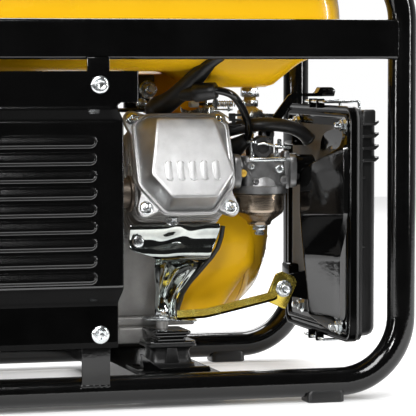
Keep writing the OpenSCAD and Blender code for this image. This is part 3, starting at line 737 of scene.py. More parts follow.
def plug_and_boot():
    plug = Shape()
    at = upright(58, -72)
    plug.prism(hexagon(10.4), 273, 282, 0.8, 2, at)
    plug.piece("plug_hexagon", ZINC, ["spark_plug"], slot="plug_ceramic")
    body = Shape()
    body.disc([(5.4, 282), (5.4, 288), (4.8, 289), (5.4, 290), (4.8, 292), (5.3, 294), (4.6, 300)], at,
        24)
    body.piece("plug_insulator", CERAMIC)
    boot = Shape()
    route = [(58, -72, 283), (58.6, -75, 286.5), (61.5, -80, 289.5), (66, -87, 293.5),
        (71.5, -97, 299.5), (78, -108, 307.5), (83, -116, 314.5), (88, -124, 321.5), (92, -132, 327.5),
        (96.5, -140, 333), (101, -146, 337), (105.5, -150.5, 340.5)]
    sizes = [9.4, 11.4, 12.4, 10.6, 9.8, 9.8, 9.2, 8.0, 6.8, 5.2, 4.6, 4.4]
    line = curve_through(route, 4)
    boot.tube(line, [sizes[i // 4] + (sizes[min(i // 4 + 1, 11)] - sizes[i // 4]) * (i % 4) / 4
        for i in range(len(line))], 28)
    for dx, dy, dz in ((-5.4, -1.5, 6.4), (1.0, -7.4, 3.2), (6.2, -3.0, -4.6)):
        boot.tube([(83 + dx, -116 + dy, 314.5 + dz), (88 + dx * 0.9, -124 + dy * 0.9, 321.5 + dz * 0.9),
            (92 + dx * 0.75, -132 + dy * 0.75, 327.5 + dz * 0.75),
            (96.5 + dx * 0.6, -140 + dy * 0.6, 333 + dz * 0.6)], [1.5, 1.6, 1.4, 0.8], 8)
    boot.tube([(74, -104, 303.5), (80, -117, 303.6), (88, -128, 305), (91, -130, 305.4)],
        [6.0, 7.0, 7.6, 7.6], 24)
    collar = aim(COLLAR_AT, COLLAR_WAY)
    boot.disc([(8.4, -3), (9.6, -1.4), (9.3, 5), (8.6, 13), (8.2, 19.5), (7.4, 20.4), (4.6, 20.6),
        (4.4, 17)], collar, 36)
    boot.piece("plug_boot_moulded", RUBBER, ["plug_boot"], smooth=50)


def head_cowl():
    """Yellow cooling sheet and dark stay above the barrel."""
    rows = []
    for y, z in ((-34, 283), (-22, 287), (-12, 290), (-8, 296), (-7, 306), (-7, 318), (-4, 322),
            (6, 323)):
        rows.append([(x, y + 3.0 * smoothstep((abs(x - 96) - 26) / 10), z)
            for x in (58, 62, 66, 72, 96, 116, 122, 128, 131)])
    cowl = Shape()
    cowl.loft([row + [(x, y + 1.4, z - 0.4) for x, y, z in row[::-1]] for row in rows])
    cowl.piece("head_cowl_sheet", SATIN, smooth=40)
    stay = Shape()
    stay.box((40, -24, 284), (71, -14, 322), 1.4, 2)
    stay.box((30, -40, 284), (66, -16, 288), 1.2, 2)
    stay.piece("head_stay", SHEET)
    nut = Shape()
    nut.bolt(near((64, -24.2, 307)), 11.0)
    nut.disc([(7.8, 0), (8.0, 0.4), (8.0, 2.6)], near((64, -23.8, 307)), 28)
    nut.bolt(near((57, -24.4, 292)), 7.0, dish=False)
    nut.piece("head_stay_bolts", ZINC)


LEAD_ROUTE = [(118.5, -138, 303.5), (130, -129, 294.5), (140, -117, 282), (147, -105, 270),
    (149, -97, 262), (148, -89, 254)]
BREATHER_ROUTE = [(124, -60, 259), (134, -67, 265), (153, -77, 270), (172, -84, 272), (194, -84, 270),
    (210, -80, 264), (220, -76, 256)]
FUEL_ROUTE = [(168, -40, 255.5), (168, -40, 240), (170, -46, 226), (172, -58, 218), (172, -67, 217),
    (172, -71.5, 217)]


def hoses():
    lead = Shape()
    start = COLLAR_AT + COLLAR_WAY * 15
    route = [tuple(start), tuple(start + COLLAR_WAY * 6)] + LEAD_ROUTE
    lead.tube(curve_through(route, 8), 3.9, 18)
    lead.piece("ignition_lead_curve", LEAD, ["ignition_lead"], smooth=60)
    grommet = Shape()
    way = Vector((-6, 12, -7)).normalized()
    at = Vector((147, -91, 256))
    grommet.lathe([(4.0, -4), (5.6, -4.4), (6.6, -2), (7.4, 4), (9.6, 14), (11.5, 24), (0, 24),
        (0, -3)], aim(at, way), 32)
    grommet.piece("lead_grommet", RUBBER)
    hose = Shape()
    line = curve_through(BREATHER_ROUTE, 8)
    hose.tube(line, 6.9, 24)
    hose.lathe([(7.0, -2.0), (7.5, -1.6), (7.5, 0.6), (7.0, 1.0), (4.4, 0.9), (4.2, -1.0)],
        aim(line[-1], line[-1] - line[-4]), 32)
    hose.piece("breather_hose_curve", HOSE, ["breather_hose"], smooth=60)
    fuel = Shape()
    fuel.tube(curve_through(FUEL_ROUTE, 6), 4.0, 18)
    fuel.piece("fuel_hose_curve", HOSE, ["fuel_hose"], smooth=60)


# ------------------------------------------------------ carburettor

CARB_Y, BORE_Z = -92.0, 226
BOWL_AT = (162, CARB_Y)


def carburettor():
    carb = Shape()
    bore = plus_x((126, CARB_Y, BORE_Z))
    carb.lathe([(11, 0), (15, 0), (15.5, 1), (15.5, 12), (14, 14), (15, 30), (17, 44), (17, 62),
        (15, 66), (15, 86), (14, 87), (11, 87)], bore, 48)
    for x0, x1 in ((129, 135.5), (187, 193.5)):
        outline = rectangle(-27, 27, -17, 17, 9)
        carb.prism(outline, 0, x1 - x0, 0.8, 2, plus_x((x0, CARB_Y, BORE_Z)))
    carb.prism(rectangle(141, 186, -112, -74, 7), 210, 240, 1.4, 3)
    carb.disc([(27.5, 203), (28, 203.6), (28, 210.4), (27.4, 211)], upright(*BOWL_AT), 64)
    carb.disc([(24, 210), (22, 216), (17, 226), (17, 238)], upright(*BOWL_AT), 48)
    # bosses and passages on the near face
    for x, z, r, out in ((176, 228, 5.4, 116), (181, 217, 4.6, 115.5), (147, 231, 4.8, 114.5),
            (152, 216, 3.4, 114)):
        carb.disc([(r + 0.8, 0), (r, 1.5), (r, out - 104), (r - 0.8, out - 103), (r * 0.5, out - 103.2),
            (r * 0.45, out - 104.5)], near((x, -104, z)), 28)
    carb.tube([(176, -108, 228), (184, -108, 228), (191, -106, 228)], 3.4, 14)
    carb.tube([(181, -108, 217), (187, -107, 214), (191, -104, 212)], 3.0, 14)
    carb.box((182, -113, 219), (188, -100, 246), 1.6)
    carb.box((183, -115, 208), (187, -104, 220), 1.2)
    for k in range(6):
        carb.box((140 + k * 1.2, -113.5, 232 - k * 2.2), (141 + k * 1.2, -110, 236 - k * 2.2), 0.3)
    carb.box((170, -78, 236), (182, -74, 268), 0.8)
    carb.disc([(3, 0), (3, 9.2), (2.4, 9.7)], near((176, -68.3, 262)), 20)
    carb.piece("carburettor_cast", CARB, ["carburettor"], smooth=34)
    trim = Shape()
    trim.disc([(2.3, 0), (2.5, 0.5), (2.5, 41), (2.2, 41.6)], plus_x((146, -111.5, 237.5)), 24)
    trim.bolt(near((176, -116.2, 228)), 5.0, dish=False)
    trim.nut(near((147, -114.8, 231)), 5.0, 2.2, 1.4, 1.0)
    trim.nut(upright(186, -84, 247), 6.0, 4.0, 2.2, 6.0)
    trim.nut(upright(176, -106, 240), 5.0, 4.0, 1.8, 9.0)
    trim.tube([(150, -108, 252), (160, -114, 254), (172, -114, 251), (190, -108, 249)], 1.2, 10)
    trim.piece("carburettor_trim", ZINC)
    cap = Shape()
    cap.lathe([(0, 0), (10.6, 0), (11.2, 0.8), (11.2, 9), (10.2, 10.6), (6.5, 11.4), (6.0, 10.2),
        (0, 10.0)], near((160, -101, 250)), 40)
    cap.box_ring(18, (-0.7, 10.6, 1.5), (0.7, 11.8, 8.5), 0.25, 1, near((160, -101, 250)))
    cap.piece("idle_cap", PLASTIC)
    jet = Shape()
    jet.disc([(3.6, 0), (3.9, 0.6), (3.9, 3), (3.3, 3.8), (1.6, 3.6), (1.4, 2.4)],
        near((139, -110, 224)), 24)
    jet.piece("idle_jet", BRASS)
    bowl = Shape()
    bowl.disc([(25.6, 203), (26.4, 202.4), (26.4, 200.6), (25.2, 200), (25.2, 187), (24.6, 184.6),
        (23, 182.4), (19, 179.4), (13.5, 175.4), (12.4, 174), (11.8, 171.6), (10.4, 170.6)],
        upright(*BOWL_AT), 72)
    bowl.piece("float_bowl_drawn", BOWL, ["float_bowl"], smooth=40)
    drain = Shape()
    at = upright(*BOWL_AT)
    drain.prism(hexagon(7.0, 10), 165.6, 170.4, 0.7, 2, at)
    drain.disc([(4.8, 160.5), (5.4, 161.2), (5.4, 163.5), (4.2, 164), (4.2, 166)], at, 24)
    drain.disc([(8.6, 169.8), (8.9, 170.2), (8.9, 170.8)], at, 32)
    drain.piece("bowl_drain", ZINC, ["bowl_bolt"])
    spacer = Shape()
    spacer.lathe([(11, 0), (17, 0), (17.6, 0.6), (17.6, 6), (17, 6.6), (11, 6.6)],
        plus_x((122.3, CARB_Y + 2, BORE_Z)), 40)
    spacer.piece("carb_spacer", PLASTIC)


# ------------------------------------------------------ fuel tank

def dense(ring, step=9.0):
    """Adds points along the straight runs of a ring."""
    out = []
    for a, b in zip(ring, ring[1:] + ring[:1]):
        a, b = Vector(a), Vector(b)
        count = max(1, int((b - a).length / step))
        out += [tuple(a.lerp(b, k / count)) for k in range(count)]
    return out


TANK_LEFT, TANK_RIGHT, TANK_HALF = -232, 238, 150
GAUGE_AT, CAP_AT = (120, 40), (-20, 0)


def fuel_tank():
    base = dense(rectangle(TANK_LEFT, TANK_RIGHT, -TANK_HALF, TANK_HALF, 34, 8))
    length = TANK_RIGHT - TANK_LEFT

    def level(inset, z, sink=0.0, right=0.0):
        ring = []
        for x, y in base:
            share = (x - TANK_LEFT) / length
            u = TANK_LEFT + inset + share * (length - 2 * inset - right)
            v = y * (TANK_HALF - inset) / TANK_HALF
            deep = smoothstep((u - 78) / 34) * smoothstep((196 - u) / 30)
            ring.append((u, v, z - 16.5 * sink * deep))
        return ring

    shell = Shape()
    lower = [level(i, z, s, r) for i, z, s, r in ((149, 326, 1, 6), (132, 326, 1, 10),
        (112, 326, 1, 14), (90, 326, 1, 19), (70, 326, 1, 22), (54, 326.0, 1, 24), (42, 326.4, 1, 26),
        (32, 327.8, 0.96, 28), (23, 330.6, 0.86, 27), (15, 335, 0.68, 23), (9, 340.5, 0.42, 17),
        (5, 346.5, 0.16, 9), (2.5, 352, 0, 3), (1.2, 355.2, 0, 0))]
    lip = [level(0.4, 355.4), level(-4.8, 355.4), level(-5.4, 355.9), level(-5.4, 358.0),
        level(-4.8, 358.6), level(0.0, 358.7), level(0.6, 359.4)]
    upper = [level(i, z) for i, z in ((1.2, 366), (1.3, 376), (1.8, 387), (3.0, 397), (5.4, 406),
        (9.4, 414), (15.5, 421), (24, 426.3), (35, 429.6), (48, 431.4), (66, 432), (90, 432.3),
        (112, 432.4), (132, 432.4), (149, 432.4))]
    pan = Shape()
    pan.loft(lower + [level(6, 356, 0, 0), level(60, 357, 0, 0)])
    pan.piece("fuel_tank_pan", SATIN, smooth=50)
    shell.loft([level(60, 355.8), level(6, 355.4)] + lip + upper)
    for k in range(3):
        shell.disc([(36 - 4 * k, 425), (35 - 4 * k, 432.2 + 0.6 * k), (30 - 4 * k, 433 + 0.4 * k)],
            upright(*GAUGE_AT), 48)
    shell.lathe([(27.2, 428), (36, 428), (35.4, 432.6), (31, 434), (30.2, 435), (30.2, 437.6),
        (29.6, 438.2), (27.8, 438.2), (27.2, 437.6)], upright(*CAP_AT), 64)
    shell.piece("fuel_tank_pressed", YELLOW, ["fuel_tank"], smooth=50)
    gauge = Shape()
    at = upright(*GAUGE_AT)
    gauge.disc([(22, 434), (22.4, 434.6), (22.4, 437.2), (21.6, 437.8), (18, 437.8), (17.4, 436.2)], at,
        48)
    for k in range(5):
        gauge.box((-0.5, 12, 436.0), (0.5, 15.5, 436.7), 0.1, 1, spun(at, 200 + 35 * k))
    gauge.box((-0.7, -3, 436.4), (0.7, 12, 437.2), 0.2, 1, spun(at, 250))
    gauge.piece("fuel_gauge", WHITE)
    cap = Shape()
    at = upright(*CAP_AT)
    cap.lathe([(0, 438.6), (32.4, 438.6), (33, 439.2), (33, 449), (31.4, 451.2), (26, 452), (12, 452),
        (11, 451.2), (0, 451)], at, 64)
    cap.box_ring(24, (31.2, -2.0, 439.2), (34.0, 2.0, 449.6), 0.8, 2, at)
    cap.box((-24, -4, 451), (24, 4, 453.6), 1.2, 3, at)
    cap.piece("fuel_cap_moulded", PLASTIC, ["fuel_cap"], "fuel_cap")


# ------------------------------------------------------ fuel tap

TAP_AT = (168, -40)


def fuel_tap():
    at = upright(*TAP_AT)
    tap = Shape()
    tap.disc([(3.4, 256), (4.4, 257), (4.0, 258.4), (4.6, 260), (4.0, 261.6), (4.8, 263.4), (4.8, 270),
        (7.6, 271), (8.6, 273), (8.6, 286), (6.8, 288.5), (6.2, 300), (6.2, 309)], at, 32)
    tap.disc([(9.6, 0), (10.2, 0.8), (10.2, 8), (9.2, 9), (5, 9.2)], near((168, -42, 279)), 36)
    tap.box((156.5, -50, 272), (179.5, -31, 286), 2.2, 3)
    tap.piece("fuel_tap_brass", BRASS, ["fuel_tap"])
    nuts = Shape()
    for low, high, r in ((289, 296, 9.2), (299, 308.6, 10.4)):
        nuts.prism(hexagon(r, 20), low, high, 0.9, 2, at)
    nuts.disc([(6.0, 262), (6.4, 262.6), (6.4, 265.4), (6, 266)], at, 24)
    nuts.piece("fuel_tap_nuts", ZINC)
    lever = Shape()
    lever.disc([(4.0, 0), (4.0, 15), (7.6, 15.6), (8.0, 16.4), (8.0, 18.4), (7.2, 19)],
        near((168, -45.4, 279)), 32)
    outline = rounded([(164, 275), (190, 276), (194, 279), (190, 282), (164, 283)], [3, 2, 2, 2, 3])
    lever.prism(outline, 60.6, 63.6, 0.6, 2, near())
    lever.piece("tap_lever_pressed", ZINC, ["tap_lever"], "tap_lever")


# ------------------------------------------------------ air cleaner

PLATE_X, CLIP_Y = 238.6, -60


def cleaner_rings(*rings):
    """Outlines of the air cleaner in local (Y, Z); a ring is (inset, X)."""
    return [[(u, v, x) for u, v in rectangle(-160 + inset, 52 - inset, 55 + inset, 291 - inset,
        max(16 - inset, 3), 8)] for inset, x in rings]


# Height, then Y of the near foot, Y and X of the near edge, Y and X of the
# far edge, and Y of the far foot.
BULGE = ((60, -121, -119, 238.6, -104, 238.4, -80), (65, -122, -119, 236.4, -101, 230, -74),
    (78, -123, -118, 233.4, -99, 212, -64), (138, -124, -119, 232.8, -99, 206, -60),
    (182, -153, -149, 232.8, -106, 200, -44), (226, -154, -150, 232.6, -108, 200, -41),
    (250, -154, -148, 232.0, -143, 230, -46), (262, -148, -142, 236.5, -137, 236, -54),
    (270, -128, -124, 238.8, -120, 238.8, -66))


def bulge_row(z):
    """Cross-section of the pressed bulge at height z, softly blended."""
    keys = []
    for column in range(1, 7):
        total = 0.0
        for k in range(-3, 4):
            at = min(max(z + 0.9 * k, BULGE[0][0]), BULGE[-1][0] - 0.01)
            below, above = next((p, q) for p, q in zip(BULGE, BULGE[1:]) if p[0] <= at < q[0])
            share = (at - below[0]) / (above[0] - below[0])
            total += below[column] + (above[column] - below[column]) * share
        keys.append(total / 7)
    foot, near_y, near_x, far_y, far_x, back = keys
    line = rounded([(foot, PLATE_X), (near_y, near_x), (far_y, far_x), (back, PLATE_X),
        ((foot + back) / 2, PLATE_X + 0.8)], [0.4, 2.2, 3.0, 6.0, 0.4], 5)
    out = []
    for p, q in zip(line, line[1:] + line[:1]):
        out += [p, ((p[0] + q[0]) / 2, (p[1] + q[1]) / 2)]
    return [(y, z, x) for y, x in out]


def air_cleaner():
    at = plus_x()
    plate = Shape()
    plate.loft(cleaner_rings((1.2, 242.8), (0, 242.4), (0, 236.8), (0.7, 236.1), (3.2, 236.0),
        (4.2, 236.6), (4.8, 238.4), (7.0, 238.4), (7.6, 236.6), (8.6, 236.0), (11.5, 236.0),
        (12.4, 236.6), (13.0, 238.2), (60, 238.4)), at)
    bulge = Shape()
    bulge.loft([bulge_row(60.2 + 209.6 * k / 130) for k in range(131)], at)
    bulge.piece("filter_plate_bulge", SHEET, smooth=40)
    for low, high in ((48.5, 58), (288, 297.5)):
        for y in (-73.8, -49.8):
            plate.box((229.6, y, low), (238, y + 3.6, high), 0.6)
    plate.lathe([(12.4, 0), (17.5, 0), (17.5, 6), (15.5, 7), (15.5, 24), (12.4, 24)],
        plus_x((193.6, CARB_Y, BORE_Z)), 40)
    plate.box((221, -20, 248), (237, 12, 262), 2.5, 3)
    plate.box((226, 6, 100), (237, 34, 122), 2.5, 3)
    plate.prism(rounded([(176, 93), (198, 97), (240, 86), (240, 128), (222, 126), (198, 121),
        (178, 117)], 3, 3), 94.2, 96.4, 0.6, 2, near())
    # The plate takes the shaded copy: painted shade in its reflections.
    plate.piece("filter_plate_pressed", SHADED_SHEET, ["filter_plate"], smooth=36)
    studs = Shape()
    for y, z in ((-141, 272), (-128, 69), (8, 272), (-8, 80)):
        studs.nut(minus_x((236.2, y, z)), 10.0, 5.5, 3.0, 6.0)
        studs.disc([(8.4, 0), (8.4, 1.4)], minus_x((236.8, y, z)), 28)
    studs.piece("filter_studs", ZINC)
    seal = Shape()
    seal.loft(cleaner_rings((9, 243.2), (1.4, 243.2), (0.4, 243.7), (0.1, 244.6), (0.4, 245.5),
        (1.4, 246.0), (9, 246.0)), at)
    seal.piece("filter_seal_band", SEAL, ["filter_seal"])
    cover = Shape()
    cover.loft(cleaner_rings((2.4, 246.1), (1.5, 246.6), (1.5, 249.2), (2.4, 249.8), (5.0, 250.0),
        (5.4, 251.0), (6.0, 258), (8.0, 262.4), (12.0, 265.4), (18, 266.8), (30, 267.0), (70, 267.0)),
        at)
    for k in range(4):
        z = 236 + 12 * k
        outline = [(249.4, z), (262.5, z), (266.2, z + 3), (266.2, z + 5.4), (262.5, z + 3.2),
            (249.4, z + 3.0)]
        cover.prism(outline, 130, 158.9, 0.5, 1, near())
    cover.box((249, -159.2, 272), (263, -130, 288), 2.4, 3)
    cover.box((249.5, -157.2, 219), (253, -150, 221.5), 0.7)
    cover.box((249.5, -157.2, 150), (253, -150, 152.5), 0.7)
    for k in range(5):
        y = -112 + 38 * k
        cover.box((262, y, 76), (267.2, y + 7, 214), 1.6, 3)
    cover.piece("filter_cover_moulded", PLASTIC, ["filter_cover"])
    for name, z, bar in (("upper_clip", 294.5, 279.0), ("lower_clip", 51.5, 67.0)):
        clip = Shape()
        near_half = [(269.0, CLIP_Y, bar), (269.2, -84, bar), (269.3, -89, bar),
            (269.5, -90, bar + (z - bar) * 0.2), (269.5, -90, bar + (z - bar) * 0.8), (268, -90, z),
            (262, -90, z), (240, -90, z), (234, -90, z), (232, -88, z), (232, CLIP_Y, z)]
        far_half = [(x, 2 * CLIP_Y - y, up) for x, y, up in near_half[-2::-1]]
        clip.tube(curve_through(near_half + far_half, 3), 1.5, 12)
        clip.piece(name + "_wire", ZINC, [name], name)


def cleaner_stay():
    stay = Shape()
    bottom = [(74, 77.4), (96, 78.2), (108, 79.4), (146, 87.5), (173, 93.6), (179, 96.4)]
    path = curve_through([(x, 0, z) for x, z in bottom], 5)
    for low, high, y0, y1 in ((0.0, 2.4, -100.6, -84.0), (0.0, 9.5, -100.6, -98.4)):
        loops = [[(p[0], y0, p[2] + low), (p[0], y1, p[2] + low), (p[0], y1, p[2] + high),
            (p[0], y0, p[2] + high)] for p in path]
        stay.loft(loops)
    outline = rounded([(-12, -17), (12, -17), (12, 12), (7, 17), (-7, 17), (-12, 12)], 2.5, 3)
    tilt = spun(near((184, -98.0, 105)), -24)
    stay.prism(outline, -1.4, 1.6, 0.6, 2, tilt)
    stay.piece("cleaner_stay_folded", YELLOW_ZINC, ["cleaner_stay"])
    screw = Shape()
    screw.bolt(near((186, -99.8, 106)), 10.0)
    screw.disc([(7.4, 0), (7.6, 0.4), (7.6, 2.4), (7.2, 2.8)], near((186, -98.6, 106)), 28)
    screw.piece("stay_screw", ZINC)


# ------------------------------------------------------ control levers

def choke_lever():
    lever = Shape()
    lever.lathe([(3.06, 0), (8.0, 0), (8.4, 0.5), (8.4, 3.0), (8.0, 3.6), (3.06, 3.6)],
        near((176, -69.2, 262)), 36)
    outline = rounded([(171.6, 265), (179.8, 259.4), (208.5, 299.8), (236, 299.8), (236, 303.2),
        (204, 303.2), (199.5, 301)], [2, 2, 3, 0.5, 0.5, 3, 3], 4)
    lever.prism(outline, 69.1, 71.9, 0.5, 2, near())
    outline = rounded([(224, 299.9), (249, 299.9), (250.2, 306), (246.5, 309.2), (234, 309.2),
        (230.5, 303.1), (224, 303.1)], [0.5, 1, 1.5, 1.5, 1, 1, 0.5], 3)
    lever.prism(outline, 59.8, 71.9, 0.7, 2, near())
    lever.piece("choke_lever_bent", SHEET, ["choke_lever"], "choke_lever")


def governor():
    arm = Shape()
    arm.lathe([(3.06, 282.6), (5.6, 282.6), (6.0, 283), (6.0, 288.6), (5.6, 289), (3.06, 289)],
        upright(*GOVERNOR_AT), 28)
    arm.prism(rounded([(110, -76), (134, -76), (140, -73), (140, -69), (110, -68)], 1.5, 3), 286, 287.8,
        0.4, 1)
    arm.tube([(136, -72, 285), (136, -72, 290)], 1.3, 12)
    arm.piece("governor_arm_pressed", ZINC, ["governor_arm"], "governor_arm")
    extra = Shape()
    extra.prism(rounded([(92, -70), (108, -70), (108, -54), (92, -54)], 2, 3), 262, 264, 0.4, 1)
    crescent = [(88, 291), (91, 287), (97, 285), (104, 286), (109, 290), (110, 284), (105, 279),
        (96, 279), (90, 284)]
    extra.prism(crescent, 58, 60, 0.5, 1, near())
    extra.box((111.6, -70, 287), (114.4, -58, 299), 0.5)
    extra.prism(rounded([(112, 282), (124, 284), (125, 297), (121, 299), (119, 291), (112, 291)], 1.2,
        3), 69, 71, 0.5, 1, near())
    extra.bolt(near((117, -71, 286)), 6.0, dish=False)
    coil = [(124 + 0.33 * k, -64 + 2.9 * cos(k * 1.1), 292.6 + 2.9 * sin(k * 1.1)) for k in range(62)]
    extra.tube(coil, 0.62, 6)
    extra.tube([(122, -70, 287), (130, -74, 282), (136, -79, 277)], 0.7, 8)
    extra.tube([(118, -71, 284), (128, -76, 279), (134, -80, 272)], 0.6, 8)
    extra.piece("governor_fittings", ZINC)
    rods = Shape()
    rods.disc([(1.5, 105), (1.5, 125)], plus_x((0, -64, 292.4)), 16)
    rods.box((133.8, -82, 276), (137.0, -78, 283.4), 0.7)
    rods.box((137, -82, 269.4), (140.4, -78, 283.4), 0.7)
    for z in (270.4, 275.4, 280.4):
        rods.box((134, -82.4, z), (147, -78, z + 2.4), 0.7)
    rods.piece("governor_clip", RUBBER, slot="black_plastic")
    knob = Shape()
    knob.lathe([(0, 96), (2.4, 96.2), (3.2, 97.4), (3.4, 99), (3.4, 105.4), (3.0, 106), (0, 106)],
        plus_x((0, -64, 292.4)), 24)
    knob.piece("governor_knob", WHITE)
    shaft = Shape()
    at = upright(150, -108)
    shaft.disc([(2.5, 212), (2.5, 253.6), (5.2, 254), (5.2, 256.4), (2.2, 256.8)], at, 24)
    shaft.prism(rounded([(-5, -5), (18, -3.6), (24, -1.5), (24, 2.5), (16, 4), (-5, 5)], 2, 3), 254.2,
        256.0, 0.4, 1, spun(at, 20))
    shaft.piece("throttle_shaft_lever", ZINC, ["throttle_shaft"], "throttle_shaft")


# ------------------------------------------------------ lower engine

SHROUD_THICK = 0.0014  # metres


def lower_shroud():
    """Folded zinc sheet below the head, narrowing to a bolted foot."""
    rows = []
    profile = [(-103.5, 174), (-104.0, 168), (-101.5, 163), (-99.8, 158), (-101.0, 152), (-104.0, 148),
        (-103.5, 141), (-98.5, 137), (-91.0, 134), (-87.0, 129), (-83.0, 122), (-78.0, 112),
        (-72.0, 102), (-66.5, 93), (-64.0, 86), (-63.0, 80), (-62.8, 76)]
    for y, z in profile:
        fall = smoothstep((150 - z) / 62)
        side = smoothstep((166 - z) / 26)
        right = 118 - 10 * side - 26 * smoothstep((140 - z) / 46)
        left = 24 + 27 * smoothstep((144.5 - z) / 4) + 9 * fall
        pinch = 9.0 * smoothstep((140 - z) / 14) * smoothstep((z - 78) / 18)
        row = []
        for k in range(41):
            t = k / 40
            x = left + (right - left) * t
            ridge = max(0.0, 1 - abs(t - 0.12) / 0.12)
            lip = smoothstep((t - 0.80) / 0.12)
            hollow = sin(pi * min(max((t - 0.22) / 0.55, 0), 1))
            wave = smoothstep((t - 0.15 - (z - 146) / 90) / 0.4)
            band = 2.4 * smoothstep((z - 146) / 6) * sin(pi * wave)
            row.append((x, y - 3.0 * ridge * fall + pinch * hollow - 4.0 * lip * fall + band, z))
        rows.append(row)
    edge = Shape()
    edge.tube([(121, -102.5, 171), (119.5, -101.5, 160), (116, -100, 148.5), (109.5, -99, 139),
        (101, -91, 126.5), (91, -84, 113), (86, -78, 102.5), (83.6, -68, 87), (83.4, -63, 77)], 2.3, 14)
    edge.piece("shroud_edge_strip", RUBBER)
    # The shroud takes the darkened zinc: painted shade.
    obj = sheet_piece("lower_shroud_sheet", rows, SHADED_ZINC, ["lower_shroud"], 70, SHROUD_THICK, 1.0)
    soft = obj.modifiers.new("soft", "SUBSURF")
    soft.levels = 1
    soft.render_levels = 1
    trim = Shape()
    trim.prism(rounded([(50, -72), (70, -80), (92, -101), (96, -96), (88, -48), (50, -48)], 3, 3), 74.8,
        76.6, 0.4, 1)
    trim.bolt(upright(66, -68, 77.8), 10.0)
    trim.disc([(10.4, 76.4), (10.6, 76.8), (10.6, 77.8)], upright(66, -68), 32)
    trim.bolt(axis_frame((66, -109, 178), 0, 40), 9.0)
    trim.bolt(axis_frame((33, -103, 157), 0, 84), 7.0, dish=False)
    trim.piece("shroud_fixings", ZINC)


def crankcase():
    case = Shape()
    outline = rectangle(-40, 108, 66, 252, 18, 6)
    profile = [(22.2, 3.0), (22.2, 1.0), (23.2, 0.0), (110.8, 0.0), (111.8, 1.0)]
    loops = []
    for x, inset in profile:
        loops.append([(u, v, x) for u, v in shrunk(outline, inset, (34, 159), (74, 93))])
    case.loft(loops, plus_x())
    case.box((24, -60, 50), (68, 134, 66.2), 1.6, 3)
    case.box((30, 90, 58.2), (104, 134, 66.2), 1.6, 3)
    case.disc([(6, 62), (6, 74)], upright(66, -72), 24)
    case.prism(rectangle(-46, 34, -46, 46, 10), 32, 61.6, 1.2, 3, BANK)
    # sump step along the near wall
    case.box((24, -46.0, 66), (108, -38, 76), 3.0, 4)
    for y, z in ((-24, 82), (92, 82), (-24, 236), (92, 236), (34, 242)):
        case.disc([(9, 0), (9, 5), (8, 6)], minus_x((22.4, y, z)), 28)
    case.lathe([(10.2, 0), (15, 0), (15, 6), (14, 7), (10.2, 7)], far((50, 105, 95)), 32)
    case.piece("crankcase_cast", CASTING, ["crankcase"])
    seam = Shape()
    seam.lathe([(12.05, 0), (77, 0), (78, 1), (78, 5), (77, 6), (44, 6.2), (40, 8), (40, 11.4),
        (39, 12), (12.05, 12)], plus_x((112, AXIS_Y, AXIS_Z)), 72)
    seam.piece("crankcase_cover_cast", CASTING, ["crankcase_cover"])
    stick = Shape()
    at = far((50, 106, 95))
    stick.lathe([(0, -10), (8.6, -10), (9.2, -9), (9.2, 4), (13, 5), (14, 6), (14, 13), (12.6, 14.4),
        (6, 15), (5.4, 18), (0, 18.6)], at, 36)
    stick.box_ring(12, (13, -1.4, 6.2), (14.6, 1.4, 13), 0.5, 1, at)
    stick.box((-10, -2.4, 14), (10, 2.4, 19.4), 1.0, 2, at)
    stick.piece("dipstick_moulded", PLASTIC, ["oil_dipstick"], "oil_dipstick")


MOUNTS = ((67, -88), (67, 122), (-165, -60), (-165, 110))


def mounts():
    rubber = Shape()
    for x, y in MOUNTS:
        loops = []
        for w, d, z in ((24, 19, 28.2), (24.6, 19.6, 29), (24.6, 19.6, 34), (22, 17.6, 35.5),
                (20.5, 16.6, 40), (19.5, 16, 46), (21, 17, 49.5), (26, 19.5, 51.4), (26, 19.5, 53.8)):
            loops.append([(x + u, y + v, z) for u, v in rectangle(-w, w, -d, d, 7, 5)])
        rubber.loft(loops)
        for side in (-1, 1):
            rubber.prism(rounded([(side * 12, 33), (side * 25, 33), (side * 20, 50), (side * 15, 50)],
                1.2, 2), -3, 3, 0.7, 2, near((x, y, 0)))
        rubber.prism(rounded([(-8, 33), (8, 33), (5, 50), (-5, 50)], 1, 2), 15, 18.6, 0.7, 2,
            near((x, y, 0)))
    rubber.piece("engine_mounts_moulded", RUBBER, ["engine_mounts"], smooth=45)
    plates = Shape()
    for x, y in MOUNTS:
        plates.prism(rectangle(x - 25, x + 25, y - 19, y + 19, 6), 54.1, 56.6, 0.7, 2)
        plates.bolt(upright(x, y, 56.4), 6.0, dish=False)
    plates.prism(rounded([(48, -107), (87, -107), (87, -58), (48, -58)], 4, 3), 63.6, 66.8, 0.8, 2)
    for low, high, z0, z1 in ((50, 84, 60, 64), (52, 82, 56, 60.4)):
        plates.prism(rounded([(low, -105), (high, -105), (high, -60), (low, -60)], 3, 3), z0, z1, 0.8,
            2)
    plates.piece("mount_plates", SHEET, ["mount_brackets"], slot="zinc_plate")
    # folded seats under the two engine mounts
    seat = Shape()
    x0, x1 = 30, 104
    for y in (-88, 122):
        seat.box((x0, y - 30, 27.6), (x1, y + 24, 30.0), 0.8, 2)
        seat.tube([(x0 + 22, y - 30, 29.4), (x1 - 2, y - 30, 29.4)], 3.0, 14)
        seat.prism([(-31, 28.4), (-13, 28.4), (-33, 46), (-36, 46)], 26, 30, 0.5, 1,
            near((x0 + 37, y, 0)))
    seat.piece("mount_seats", SHEET)


def rubber_feet():
    feet = Shape()
    for x in (-204, 204):
        for y in (-170, 170):
            loops = []
            for grow, z in ((-1.2, 0.02), (0, 1.0), (0, 9.0), (-1.0, 12.4), (-2.0, 13.8)):
                ring = rectangle(-19 - grow, 19 + grow, -13 - grow, 13 + grow, 5, 5)
                loops.append([(x + u, y + v, z) for u, v in ring])
            feet.loft(loops)
    feet.piece("rubber_feet_moulded", RUBBER, ["rubber_feet"])


# ------------------------------------------------------ starter end

ROPE_X, ROPE_Z, GRIP_Y = 173, 190, 133
THIRD_TURN = 2.094  # radians
SCREW_TURNS = (35, 155, 275)


